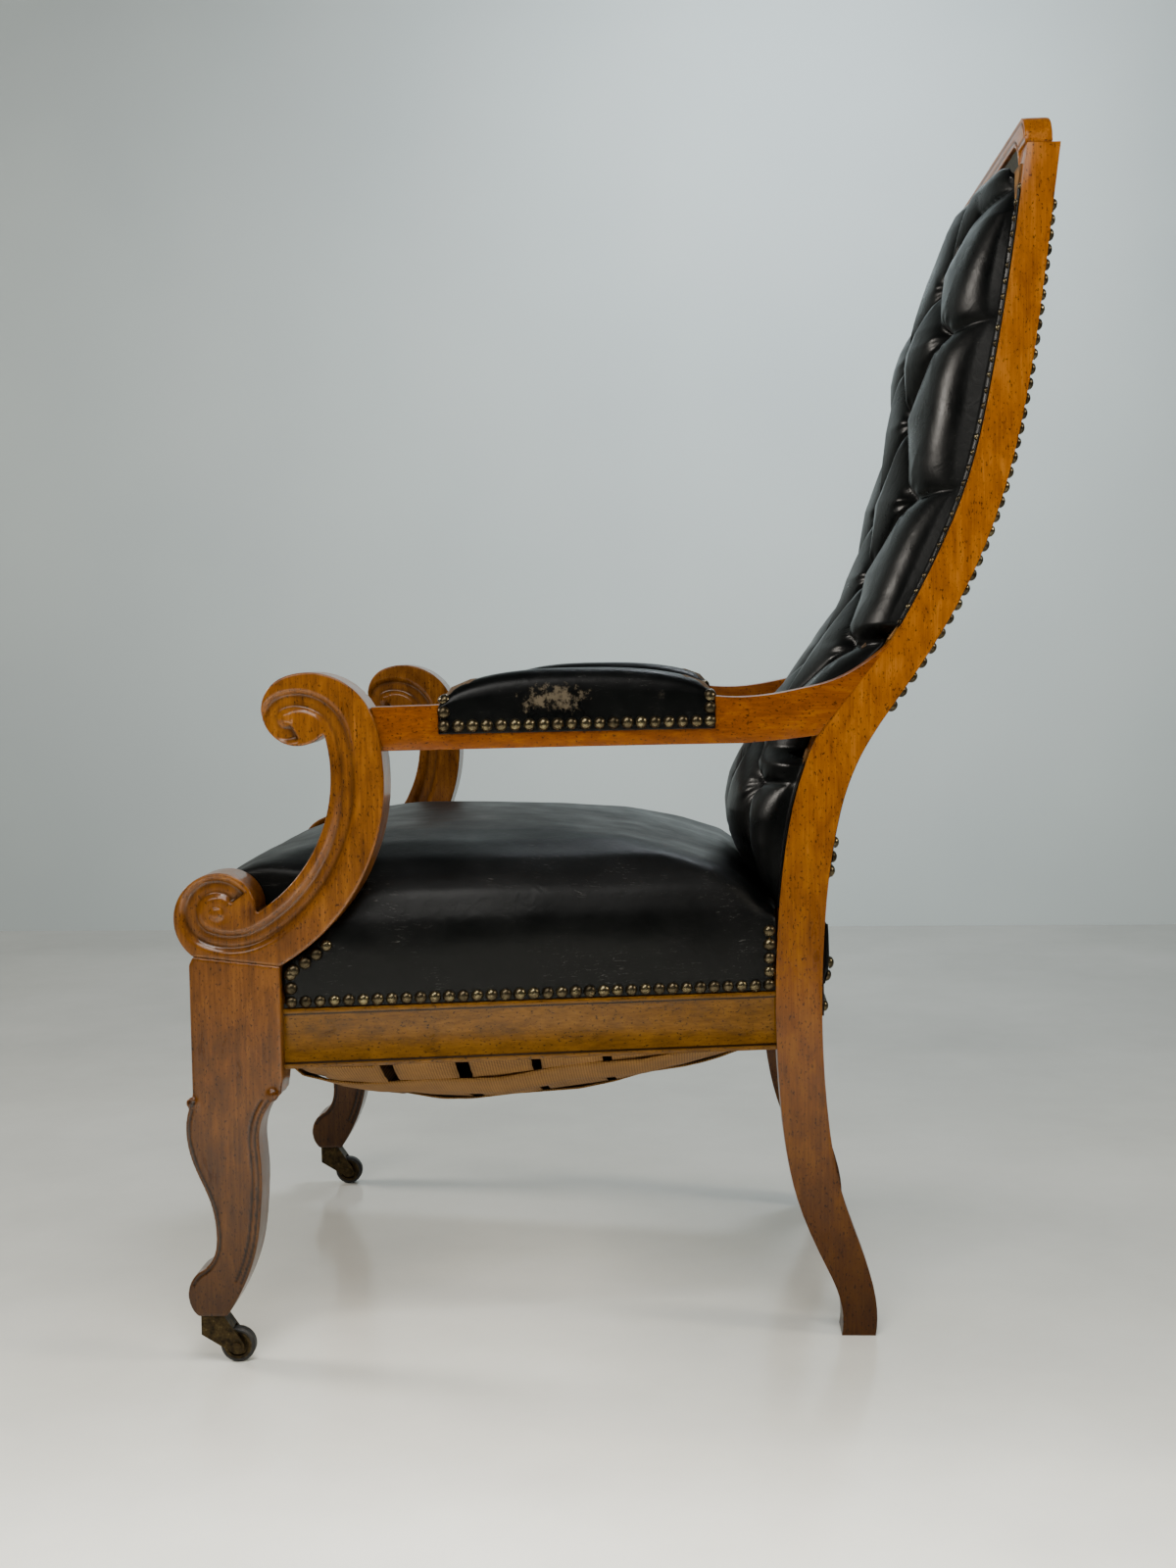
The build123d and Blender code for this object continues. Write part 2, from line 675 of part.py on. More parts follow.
def seat_cover():
    """Leather drawn over the stuffing and down the front and rear rails."""
    cover = less(seat_form(0) - seat_form(leather_thickness), seat_neighbours(soft_clearance))
    front_half = leg_inner_x - soft_clearance
    front_y = front_rail_y - soft_clearance - leather_thickness
    rear_half = post_inner_x - soft_clearance
    rear_y = rear_rail_y + rail_thickness + soft_clearance
    cover += cross_rail(front_half, front_y, leather_thickness, front_skirt_z, seat_skirt_z - front_skirt_z)
    cover += cross_rail(rear_half, rear_y, leather_thickness, rear_skirt_z, seat_skirt_z - rear_skirt_z)
    return cover


def hessian_tent(outset):
    """The platform over the springs: it rises from the tops of the rails to a flat."""
    def outline(run, z):
        front_y = front_rail_y + hessian_landing + run - outset
        rear_y = rear_rail_y + rail_thickness - hessian_landing - run + outset
        front_half = side_rail_line(front_y) - hessian_landing - run + outset
        rear_half = side_rail_line(rear_y) - hessian_landing - run + outset
        corners = [(-front_half, front_y), (front_half, front_y), (rear_half, rear_y), (-rear_half, rear_y)]
        return Pos(0, 0, z) * make_face(Polyline(*corners, close=True))

    base_z = rail_bottom_z + rail_height + soft_clearance
    tent = loft([outline(0, base_z), outline(hessian_slope_run, hessian_top_z + outset)], ruled=True)
    if outset < 0:
        tent += extrude(outline(0, base_z), amount=overrun, dir=(0, 0, -1))
    return tent


def seat_hessian():
    return less(hessian_tent(0) - hessian_tent(-hessian_thickness), seat_neighbours(soft_clearance))


def seat_stuffing():
    """Hair stuffing between the hessian and the leather, resting on the rails."""
    gap = leather_thickness + soft_clearance
    floor_z = rail_bottom_z + rail_height + soft_clearance
    below = cross_rail(front_half_width + overrun, seat_front_y - overrun,
                       seat_rear_y - seat_front_y + 2 * overrun, 0, floor_z)
    stuffing = seat_form(gap) - below - hessian_tent(soft_clearance)
    return less(stuffing, seat_neighbours(gap))


def hanging_strap(low, inner_low, inner_high, high, sag):
    """Side view of a strap tacked under two rails and hanging in an arc between them."""
    z = rail_bottom_z
    t = webbing_thickness
    middle = (inner_low + inner_high) / 2
    return [
        Line((low, z), (inner_low, z)), ThreePointArc((inner_low, z), (middle, z - sag), (inner_high, z)),
        Line((inner_high, z), (high, z)), Line((high, z), (high, z - t)),
        Line((high, z - t), (inner_high, z - t)),
        ThreePointArc((inner_high, z - t), (middle, z - sag - t), (inner_low, z - t)),
        Line((inner_low, z - t), (low, z - t)), Line((low, z - t), (low, z))]


def long_strap_sag(x):
    """How far a front-to-back strap hangs, just above the cross straps under its outer edge."""
    half = side_rail_line(webbing_middle_y) - rail_thickness
    edge = abs(x) + webbing_width / 2
    return webbing_sag * (1 - (edge / half) ** 2) - 2 * webbing_thickness


def long_strap_places():
    return [(k - (long_webbing_count - 1) / 2) * long_webbing_pitch for k in range(long_webbing_count)]


def long_strap_ends():
    return front_rail_y + rail_thickness, rear_rail_y


def seat_webbing():
    """Seven cross straps under the side rails and four straps from front to back above them."""
    straps = []
    for k, share in enumerate(webbing_sag_shares):
        y = webbing_middle_y + (k - (len(webbing_sag_shares) - 1) / 2) * webbing_pitch
        rear_edge = y + webbing_width / 2
        outer = side_rail_line(rear_edge) - webbing_end_margin
        inner = side_rail_line(rear_edge) - rail_thickness
        face = Plane.XZ * make_face(hanging_strap(-outer, -inner, inner, outer, share * webbing_sag))
        strap = extrude(face, amount=webbing_width, dir=(0, 1, 0))
        straps.append(Pos(0, y - webbing_width / 2, 0) * strap)
    front, rear = long_strap_ends()
    landing = rail_thickness - webbing_end_margin
    for x in long_strap_places():
        edges = hanging_strap(front - landing, front, rear, rear + landing, long_strap_sag(x))
        straps.append(slab(edges, x - webbing_width / 2, webbing_width))
    return straps


def webbing_top(x, y):
    """Height of the straps' upper side at the outer edge of a spring that stands at (x, y)."""
    front, rear = long_strap_ends()
    middle, half = (front + rear) / 2, (rear - front) / 2
    foot = spring_end_radius + spring_wire
    under = [s for s in long_strap_places() if abs(s - x) < foot + webbing_width / 2]
    sag = min(long_strap_sag(s) for s in under)
    return rail_bottom_z - sag * (1 - ((abs(y - middle) + foot) / half) ** 2)


def spring(x, y):
    """A waisted coil of square-cut wire from the webbing up to the hessian."""
    low = webbing_top(x, y) + 2 * soft_clearance + spring_wire / 2
    high = hessian_top_z - hessian_thickness - 2 * soft_clearance - spring_wire / 2
    count = spring_turns * spring_steps_per_turn
    points = []
    for k in range(count + 1):
        t = k / count
        angle = 2 * pi * spring_turns * t
        radius = spring_waist_radius + (spring_end_radius - spring_waist_radius) * (2 * t - 1) ** 2
        points.append((x + radius * cos(angle), y + radius * sin(angle), low + (high - low) * t))
    path = Polyline(*points)
    start = Plane(origin=points[0], z_dir=path % 0)
    return sweep(start * Rectangle(spring_wire, spring_wire), path=path, transition=Transition.RIGHT)


def seat_springs():
    return [
        spring(column * spring_column_pitch, webbing_middle_y + row * spring_row_pitch)
        for column in (-1, 0, 1) for row in (-1, 0, 1)]


def interpolate(shares, value):
    """Straight-line reading of a table of (place, value) shares."""
    for (low, low_value), (high, high_value) in zip(shares, shares[1:]):
        if value <= high or high == shares[-1][0]:
            t = min(max((value - low) / (high - low), 0), 1)
            return low_value + (high_value - low_value) * t


post_upper_edge = Spline(*side_points(post_front_upper_shares))
post_lower_edge = Spline(*side_points(post_front_lower_shares))
flat_top = side_points(post_front_upper_shares)[-1]
flat_bottom = side_points(post_front_lower_shares)[0]


def back_y(z):
    """Front of the posts at a height, with the flat behind the arm."""
    if z >= flat_top[1]:
        return curve_at(post_upper_edge, z)[0]
    if z <= flat_bottom[1]:
        return curve_at(post_lower_edge, z)[0]
    t = (z - flat_bottom[1]) / (flat_top[1] - flat_bottom[1])
    return flat_bottom[0] + (flat_top[0] - flat_bottom[0]) * t


def back_half(z):
    """Half the width of the back pad, which passes between the arms and under the crest."""
    low = interpolate((
        (back_arm_low_z - back_step, 1.0), (back_arm_low_z, 0.0), (back_arm_high_z, 0.0),
        (back_arm_high_z + back_step, 1.0), (back_top_z - 4 * back_step, 1.0),
        (back_top_z - 2 * back_step, 0.0)), z)
    return back_arm_half_width + (back_half_width - back_arm_half_width) * low


def crown_height(z):
    return back_crown * interpolate(back_crown_shares, share_at(z))


def crown_at(x, z):
    """How far the pad stands proud of the posts before its buttons draw it in."""
    return crown_height(z) * (1 - back_crown_fall_share * (x / back_half(z)) ** 2)


def outer_stops(z):
    """Places across the pad where a row with three buttons has its folds, left half and right."""
    seat = button_seat / 2
    left = [-back_half(z), -button_pitch - seat, -button_pitch + seat, -seat]
    return left + [-x for x in left[::-1]]


def inner_stops(z):
    seat = button_seat / 2
    half = back_half(z)
    left = [-half, -half + pleat_edge_inset, -button_pitch / 2 - seat, -button_pitch / 2 + seat]
    return left + [-x for x in left[::-1]]


def back_section(z, stops, fold_share, puff_share):
    """A level section of the back pad: arcs that swell between the folds."""
    rear_y = back_y(z)
    front = []
    for x in stops:
        edge = abs(x) >= back_half(z)
        drop = 0 if edge else fold_share * crown_height(z)
        front.append((x, back_y(z) - crown_at(x, z) + drop))
    edges = []
    for a, b in zip(front, front[1:]):
        x = (a[0] + b[0]) / 2
        narrow = b[0] - a[0] <= button_seat + soft_clearance
        level = (a[1] + b[1]) / 2
        swell = soft_clearance if narrow else max(level - back_y(z) + crown_at(x, z), 0)
        swell -= 0 if narrow else puff_share * crown_height(z)
        edges.append(ThreePointArc(a, (x, level - max(swell, soft_clearance)), b))
    corners = [(front[-1][0], rear_y), (front[0][0], rear_y)]
    edges += [Line(front[-1], corners[0]), Line(*corners), Line(corners[1], front[0])]
    return Pos(0, 0, z) * make_face(edges)


def back_cover():
    """The tufted leather pad: folds run from each button to the buttons of the rows beside it."""
    rows = [(height_at(share), outer_stops) for share in outer_row_shares]
    rows += [(height_at(share), inner_stops) for share in inner_row_shares]
    rows.sort()
    sections = []
    low, high = back_end_shares
    for share in (0.0, low, high):
        z = back_bottom_z + share * (rows[0][0] - button_seat / 2 - back_bottom_z)
        sections.append(back_section(z, rows[0][1](z), pleat_depth_share * share, 0))
    for i, (row_z, stops) in enumerate(rows):
        for z in (row_z - button_seat / 2, row_z + button_seat / 2):
            sections.append(back_section(z, stops(z), button_depth_share, 0))
        if i + 1 < len(rows):
            z = (row_z + rows[i + 1][0]) / 2
            between = [(a + b) / 2 for a, b in zip(stops(z), rows[i + 1][1](z))]
            sections.append(back_section(z, between, pleat_depth_share, pleat_depth_share / 2))
    for share in (high, low, 0.0):
        z = back_top_z - share * (back_top_z - rows[-1][0] - button_seat / 2)
        sections.append(back_section(z, rows[-1][1](z), pleat_depth_share * share, 0))
    pad = loft(sections, ruled=True)
    pad -= back_layer(
        -overrun, overrun + back_canvas_thickness + 2 * soft_clearance, back_bottom_z - overrun,
        back_top_z + overrun / 2, back_half_width + overrun)
    return pad - back_layer(
        back_core_offset - soft_clearance, back_core_thickness + 2 * soft_clearance,
        back_core_bottom_z - soft_clearance, back_core_top_z + soft_clearance,
        back_arm_half_width - back_core_margin + soft_clearance)


back_core_offset = back_canvas_thickness + 2 * soft_clearance


def back_layer(offset, thickness, z_bottom, z_top, half_width):
    """A layer of even thickness laid along the front of the posts."""
    levels = [k * back_step for k in range(int(z_top / back_step) + 1)]
    heights = [z_bottom] + [z for z in levels if z_bottom < z < z_top] + [z_top]
    near = [(back_y(z) - offset, z) for z in heights]
    far = [(y - thickness, z) for y, z in near]
    return slab([Polyline(*near, *far[::-1], close=True)], -half_width, 2 * half_width)


def back_canvas():
    """Canvas tacked across the posts, cut away round the arms."""
    canvas = back_layer(
        soft_clearance, back_canvas_thickness, back_canvas_bottom_z, back_top_z - back_step, back_half_width)
    for side in both_sides(Pos(
            back_half_width, 0, (back_arm_low_z + back_arm_high_z) / 2) * Box(
            2 * (back_half_width - back_arm_half_width), 2 * half_depth, back_arm_high_z - back_arm_low_z)):
        canvas -= side
    return canvas


def back_buttons():
    """Covered buttons, each seated at the meeting of four folds and square to the back."""
    ball_radius = (button_radius ** 2 + button_rise ** 2) / (2 * button_rise)
    ball = Pos(0, 0, button_rise - ball_radius) * Sphere(ball_radius)
    dome = ball - Pos(0, 0, -ball_radius) * Box(4 * ball_radius, 4 * ball_radius, 2 * ball_radius)
    buttons = []
    rows = [(height_at(share), (-button_pitch, 0, button_pitch)) for share in outer_row_shares]
    rows += [(height_at(share), (-button_pitch / 2, button_pitch / 2)) for share in inner_row_shares]
    for z, places in rows:
        for x in places:
            half = button_seat / 2
            low_y, high_y = [
                back_y(h) - crown_at(x, h) + button_depth_share * crown_height(h)
                for h in (z - half, z + half)]
            fall = crown_at(x - half, z) - crown_at(x + half, z)
            normal = (fall, -button_seat, high_y - low_y)
            seat = (low_y + high_y) / 2 - 4 * soft_clearance
            buttons.append(Plane(origin=(x, seat, z), z_dir=normal) * dome)
    return buttons


def outside_back():
    """Leather panel on the back, stretched straight over the hollow bend of the posts."""
    near = [(y + soft_clearance, z) for y, z in side_points(outside_back_shares)]
    far = [(y + outside_back_thickness, z) for y, z in near]
    edges = [
        Spline(*near[:-1]), Line(near[-2], near[-1]), Line(near[-1], far[-1]), Line(far[-1], far[-2]),
        Spline(*far[-2::-1]), Line(far[0], near[0])]
    return slab(edges, -outside_back_half_width, 2 * outside_back_half_width)


def arm_top_at(y):
    """Height of the arm's straight top under the pad."""
    front, rear = [arm_point(s) for s in arm_top_shares[:2]]
    return front[1] + (rear[1] - front[1]) * (y - front[0]) / (rear[0] - front[0])


def arm_pad_form(inset, floor_rise):
    """Arm pad's crowned form: upright sides and an arc over the top, lower towards both ends."""
    sections = []
    for place, rise in arm_pad_station_shares:
        length = arm_pad_rear_y - arm_pad_front_y - 2 * inset
        y = arm_pad_front_y + inset + place * length
        floor_z = arm_pad_bottom_z if floor_rise is None else arm_top_at(y) + floor_rise
        crown = arm_pad_top_z - arm_top_at(y)
        top_z = arm_top_at(y) + crown * rise - inset
        side_z = arm_top_at(y) + crown * rise * arm_pad_shoulder_share - inset
        half, x = arm_half_width(y) + arm_pad_overhang - inset, arm_center_x(y)
        face = Plane.XZ * make_face([
            Line((x - half, floor_z), (x - half, side_z)),
            ThreePointArc((x - half, side_z), (x, top_z), (x + half, side_z)),
            Line((x + half, side_z), (x + half, floor_z)), Line((x + half, floor_z), (x - half, floor_z))])
        sections.append(Pos(0, y, 0) * face)
    return loft(sections, ruled=True)


def arm_sleeve(gap):
    """The arm's straight length with a gap around it."""
    sections = []
    for k in range(arm_plan_steps + 1):
        y = arm_pad_front_y - overrun + (arm_pad_rear_y - arm_pad_front_y + 2 * overrun) * k / arm_plan_steps
        half, x, top_z = arm_half_width(y) + gap, arm_center_x(y), arm_top_at(y) + gap
        corners = [(x - half, arm_bottom_z - overrun), (x + half, arm_bottom_z - overrun),
                   (x + half, top_z), (x - half, top_z)]
        sections.append(Pos(0, y, 0) * (Plane.XZ * make_face(Polyline(*corners, close=True))))
    return loft(sections, ruled=True)


def arm_pad():
    hollow = arm_pad_form(leather_thickness, 0)
    return arm_pad_form(0, None) - hollow - arm_sleeve(2 * soft_clearance)


def arm_pad_stuffing():
    return arm_pad_form(leather_thickness + soft_clearance, soft_clearance)


# Where the casters stand under the left leg
caster_x = front_half_width - leg_thickness / 2
pivot_y = leg_point(leg_toe_shares[-1])[0] + caster_plate_radius - caster_toe_overhang
axle_y = pivot_y + caster_trail
plate_z = caster_height - caster_plate_thickness
horn_top_z = plate_z - caster_head_gap
horn_width = wheel_width + 2 * (horn_side_gap + horn_side_thickness)


def upright(x, y, z_bottom, radius, height):
    return Pos(x, y, z_bottom + height / 2) * Cylinder(radius, height)


def across(radius, width):
    """A cylinder on the wheel's axis, centred on the wheel."""
    return Pos(caster_x, axle_y, wheel_radius) * Cylinder(radius, width, rotation=(0, 90, 0))


def screw_places():
    places = []
    for k in range(screw_count):
        angle = 2 * pi * k / screw_count
        places.append((
            caster_x + screw_circle_radius * sin(angle), pivot_y + screw_circle_radius * cos(angle)))
    return places


def caster_screw(place, fit=0.0):
    shank = upright(*place, plate_z, screw_radius + fit, screw_length + fit)
    return shank + upright(*place, plate_z, screw_head_radius + fit, screw_head_height + fit)


def caster_plate():
    """Round plate screwed under the toe, with the pin that the horn turns on."""
    plate = upright(caster_x, pivot_y, plate_z, caster_plate_radius, caster_plate_thickness)
    plate += upright(caster_x, pivot_y, plate_z - caster_pin_length, caster_pin_radius, caster_pin_length)
    return less(plate, [caster_screw(place, glue_clearance) for place in screw_places()])


def caster_horn():
    """Forked horn: a block on the pin, drawn back to an eye for the axle on each side."""
    block = Polyline(
        (pivot_y - horn_block_reach, horn_top_z), (pivot_y + horn_block_reach, horn_top_z),
        (pivot_y + horn_block_reach, horn_top_z - horn_block_height),
        (pivot_y - horn_block_reach, horn_top_z - horn_block_height), close=True)
    eye = CenterArc((axle_y, wheel_radius, 0), horn_eye_radius, 0, 360)
    outline = make_hull(block.edges() + eye.edges())
    side = Plane.YZ.offset(caster_x - horn_width / 2) * outline
    horn = extrude(side, amount=horn_width, dir=(1, 0, 0))
    horn -= across(wheel_radius + horn_wheel_gap, wheel_width + 2 * horn_side_gap)
    horn -= across(axle_radius + glue_clearance, horn_width + overrun)
    depth = caster_pin_length + caster_head_gap
    bore_z = horn_top_z - depth
    return horn - upright(caster_x, pivot_y, bore_z, caster_pin_radius + running_clearance, depth + overrun)


def caster_axle():
    """Riveted axle with a head outside each cheek of the horn."""
    head = axle_head_height + glue_clearance
    axle = across(axle_radius, horn_width + 2 * glue_clearance)
    shift = horn_width / 2 + glue_clearance + axle_head_height / 2
    for side in (-1, 1):
        axle += Pos(side * shift, 0, 0) * across(axle_head_radius, head - glue_clearance)
    return axle


def turned(profile):
    """A solid of revolution on the wheel's axis from (across, radius) corners."""
    plane = Plane(origin=(caster_x, axle_y, wheel_radius), x_dir=(1, 0, 0), z_dir=(0, -1, 0))
    face = plane * make_face(Polyline(*profile, close=True))
    return revolve(face, axis=Axis((caster_x, axle_y, wheel_radius), (1, 0, 0)))


def caster_wheel():
    """Turned wheel: hub, thin web and rim."""
    bore = axle_radius + running_clearance
    rim = wheel_radius - tyre_thickness
    half, web, hub = wheel_width / 2, wheel_web / 2, wheel_width / 2 + hub_overhang
    right = [(hub, bore), (hub, hub_radius), (web, hub_radius), (web, rim - wheel_rim_depth),
             (half, rim - wheel_rim_depth), (half, rim)]
    return turned(right + [(-x, r) for x, r in right[::-1]])


def caster_tyre():
    half = wheel_width / 2
    right = [(half, wheel_radius - tyre_thickness + glue_clearance), (half, wheel_radius - tyre_chamfer),
             (half - tyre_chamfer, wheel_radius)]
    return turned(right + [(-x, r) for x, r in right[::-1]])


leg_inner_x = front_half_width - leg_thickness
post_inner_x = rear_half_width - post_thickness
front_rail_y = leg_rear_y - leg_block_depth + front_rail_inset
rear_rail_y = post_front_at(rail_bottom_z) + rear_rail_inset
bottom_rail_y = post_front_at(back_bottom_rail_z) + back_bottom_rail_inset
rail_middle_z = rail_bottom_z + rail_height / 2
post_joint_y = post_front_at(rail_middle_z)
bottom_rail_middle_z = back_bottom_rail_z + back_bottom_rail_height / 2

front_rail_spots = doweled_pair(leg_inner_x, front_rail_y + rail_thickness / 2, rail_middle_z, (1, 0, 0))
side_front_spots = doweled_pair(
    side_rail_line(leg_rear_y) - rail_thickness / 2, leg_rear_y, rail_middle_z, (0, 1, 0))
side_rear_spots = doweled_pair(
    side_rail_line(post_joint_y) - rail_thickness / 2, post_joint_y, rail_middle_z, (0, 1, 0))
rear_rail_spots = doweled_pair(
    post_inner_x, rear_rail_y + rear_dowel_share * rail_thickness, rail_middle_z, (1, 0, 0))
bottom_rail_spots = [
    ((post_inner_x, bottom_rail_y + back_bottom_rail_depth / 2, bottom_rail_middle_z), (1, 0, 0))]
arm_post_y = flat_bottom[0] + (flat_top[0] - flat_bottom[0]) * arm_dowel_share
arm_post_z = flat_bottom[1] + (flat_top[1] - flat_bottom[1]) * arm_dowel_share
arm_post_spots = [((rear_half_width - post_thickness / 2, arm_post_y, arm_post_z), (0, 1, 0))]
arm_front_z = arm_bottom_z + arm_height / 2
arm_front_y = scroll_center_y + sqrt(scroll_outer_radius ** 2 - (arm_front_z - scroll_center_z) ** 2)
arm_scroll_spots = [((arm_center_x(arm_front_y), arm_front_y, arm_front_z), (0, 1, 0))]
scroll_leg_spots = []
for share in leg_dowel_shares:
    foot = [scroll_toe[k] + (scroll_heel[k] - scroll_toe[k]) * share for k in (0, 1)]
    scroll_leg_spots.append(((caster_x, foot[0], foot[1]), (0, 0, 1)))
crest_y = post_front_upper_shares[0][0] * half_depth - crest_setback + crest_depth / 2
crest_dowel_z = post_height + crest_dowel_rise - dowel_length / 2
crest_spots = [((rear_half_width - post_thickness / 2, crest_y, crest_dowel_z), (0, 0, 1))]

whole_post = back_post()
post = drilled(
    whole_post, side_rear_spots + rear_rail_spots + bottom_rail_spots + arm_post_spots + crest_spots)
leg = drilled(front_leg(), front_rail_spots + side_front_spots + scroll_leg_spots)
leg = less(leg, [caster_screw(place, glue_clearance) for place in screw_places()])
scroll = drilled(arm_scroll(), arm_scroll_spots + scroll_leg_spots)
arm = drilled(arm_rail(), arm_scroll_spots + arm_post_spots)
rail = drilled(side_rail(whole_post), side_front_spots + side_rear_spots)
front_rail = cross_rail(leg_inner_x, front_rail_y, rail_thickness, rail_bottom_z, rail_height)
rear_rail = cross_rail(post_inner_x, rear_rail_y, rail_thickness, rail_bottom_z, rail_height)
back_bottom_rail = cross_rail(
    post_inner_x, bottom_rail_y, back_bottom_rail_depth, back_bottom_rail_z, back_bottom_rail_height)
rail_spots = front_rail_spots + side_front_spots + side_rear_spots + rear_rail_spots + bottom_rail_spots
arm_spots = arm_post_spots + arm_scroll_spots + scroll_leg_spots

nodes = {
    "front_rail": drilled(front_rail, front_rail_spots + mirrored(front_rail_spots)),
    "rear_rail": drilled(rear_rail, rear_rail_spots + mirrored(rear_rail_spots)),
    "back_bottom_rail": drilled(back_bottom_rail, bottom_rail_spots + mirrored(bottom_rail_spots)),
    "crest_rail": drilled(crest_rail(), crest_spots + mirrored(crest_spots)),
    "corner_blocks": Compound(children=corner_blocks(whole_post)),
    "rail_dowels": Compound(children=[dowel(s) for s in rail_spots + mirrored(rail_spots)]),
    "arm_dowels": Compound(children=[dowel(s) for s in arm_spots + mirrored(arm_spots)]),
    "crest_dowels": Compound(children=[dowel(s) for s in crest_spots + mirrored(crest_spots)]),
    "seat_webbing": Compound(children=seat_webbing()),
    "seat_springs": Compound(children=seat_springs()),
    "seat_hessian": seat_hessian(),
    "seat_stuffing": seat_stuffing(),
    "seat_cover": seat_cover(),
    "back_canvas": back_canvas(),
    "back_stuffing": back_layer(
        back_core_offset, back_core_thickness, back_core_bottom_z, back_core_top_z,
        back_arm_half_width - back_core_margin),
    "back_cover": back_cover(),
    "back_buttons": Compound(children=back_buttons()),
    "outside_back": outside_back()}

paired = {
    "arm_scroll": scroll, "front_leg": leg, "back_post": post, "arm_rail": arm, "side_rail": rail,
    "arm_pad": arm_pad(), "arm_pad_stuffing": arm_pad_stuffing(), "caster_plate": caster_plate(),
    "caster_screws": Compound(children=[caster_screw(place) for place in screw_places()]),
    "caster_horn": caster_horn(), "caster_axle": caster_axle(), "caster_wheel": caster_wheel(),
    "caster_tyre": caster_tyre()}
for name, shape in paired.items():
    nodes[f"{name}_left"], nodes[f"{name}_right"] = both_sides(shape)

for name, shape in nodes.items():
    export_step(shape, f"parts/{name}.step")
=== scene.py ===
import math
import random

import bmesh
import bpy
import numpy as np
from mathutils import Matrix, Vector, noise
from mathutils.bvhtree import BVHTree
from mathutils.kdtree import KDTree


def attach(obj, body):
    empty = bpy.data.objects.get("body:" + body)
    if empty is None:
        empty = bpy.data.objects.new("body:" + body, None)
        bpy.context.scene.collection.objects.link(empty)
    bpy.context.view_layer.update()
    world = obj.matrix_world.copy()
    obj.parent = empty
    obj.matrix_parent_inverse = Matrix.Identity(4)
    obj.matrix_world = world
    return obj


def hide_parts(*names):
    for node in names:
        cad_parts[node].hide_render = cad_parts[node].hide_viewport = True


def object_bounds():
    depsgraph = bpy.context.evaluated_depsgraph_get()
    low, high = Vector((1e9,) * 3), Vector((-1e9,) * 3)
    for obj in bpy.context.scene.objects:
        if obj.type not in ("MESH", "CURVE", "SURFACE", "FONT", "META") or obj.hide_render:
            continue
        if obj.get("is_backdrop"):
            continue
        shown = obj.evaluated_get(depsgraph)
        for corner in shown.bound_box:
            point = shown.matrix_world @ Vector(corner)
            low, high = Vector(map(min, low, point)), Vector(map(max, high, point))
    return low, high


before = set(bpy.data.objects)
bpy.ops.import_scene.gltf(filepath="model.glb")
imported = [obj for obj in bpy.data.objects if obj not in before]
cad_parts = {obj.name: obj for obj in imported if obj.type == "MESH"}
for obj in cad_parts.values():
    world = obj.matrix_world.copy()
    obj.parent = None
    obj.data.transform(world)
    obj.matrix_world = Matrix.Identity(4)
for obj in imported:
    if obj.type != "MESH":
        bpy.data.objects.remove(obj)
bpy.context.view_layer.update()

# Show wood: posts, legs, arms, side rails and crest of solid beech, sawn to shape, the edges
# taken off by hand, stained and French-polished to a honey brown that is darker towards the
# bottom, with painted shade darkening the carved hollows and the cut lines. The side rails have
# a line scratched along both edges, shown as painted dark stripes of shade.
mm = 0.001
sides = {"left": 1, "right": -1}
wood_tones = ("#5c2f06", "#884e0c", "#a96a18")
wood_tone_places = (0.27, 0.50, 0.72)
wood_edge_round, rail_edge_round = 1.8, 0.6
wood_sharp_angle = math.radians(38)
grain_size, figure_size, fleck_size = (2.2, 60.0), (16.0, 40.0), (1.7, 3.4)
grain_share = 0.40
# The wood is darker towards the bottom: a share of its colour at the low height in metres, rising to full at
# the high one.
bottom_dark_low, bottom_dark_high, bottom_darkest = 0.03, 0.66, 0.20
# Heights in millimetres of the rails' scratched lines, which are not cut but painted as dark stripes of
# shade.
rail_shade_lines = (280.0, 325.0)


def colour(code):
    """An sRGB hex colour as linear RGBA."""
    parts = [int(code[i:i + 2], 16) / 255 for i in (1, 3, 5)]
    return [c / 12.92 if c <= 0.04045 else ((c + 0.055) / 1.055) ** 2.4 for c in parts] + [1]


def add(tree, kind, sockets=None, **settings):
    """Adds one node with its settings and its input values or links."""
    item = tree.nodes.new(kind)
    for key, value in settings.items():
        setattr(item, key, value)
    for key, value in (sockets or {}).items():
        if isinstance(value, bpy.types.NodeSocket):
            tree.links.new(value, item.inputs[key])
        else:
            item.inputs[key].default_value = value
    return item


def finish_named(name, **values):
    """A new material: its tree, its shader and the object coordinates."""
    material = bpy.data.materials.new(name)
    material.use_nodes = True
    tree = material.node_tree
    tree.nodes.clear()
    shader = add(tree, "ShaderNodeBsdfPrincipled", {k.replace("_", " "): v for k, v in values.items()})
    add(tree, "ShaderNodeOutputMaterial", {"Surface": shader.outputs["BSDF"]})
    return material, tree, shader, add(tree, "ShaderNodeTexCoord").outputs["Object"]


def give(tree, shader, **patterns):
    """Links patterns to a shader's inputs."""
    for name, pattern in patterns.items():
        tree.links.new(pattern, shader.inputs[name.replace("_", " ")])


def stretched(tree, place, size, axis, turn=(0, 0, 0)):
    """Coordinates for a pattern with a size across and a size along one axis."""
    scale = [1 / (size[0] * mm)] * 3
    scale[axis] = 1 / (size[1] * mm)
    return add(tree, "ShaderNodeMapping", {"Vector": place, "Rotation": turn, "Scale": scale}).outputs[0]


def clouded(tree, place, size=1000.0, detail=2.0, rough=0.5, twist=0.0):
    """A cloudy pattern of a size in millimetres."""
    return add(tree, "ShaderNodeTexNoise", {
        "Vector": place, "Scale": 1 / (size * mm), "Detail": detail, "Roughness": rough,
        "Distortion": twist}).outputs["Fac"]


def ranged(tree, value, low, high, start=0.0, end=1.0):
    """A value between low and high, carried to a range from start to end."""
    return add(tree, "ShaderNodeMapRange", {
        "Value": value, "From Min": low, "From Max": high, "To Min": start, "To Max": end}).outputs[0]


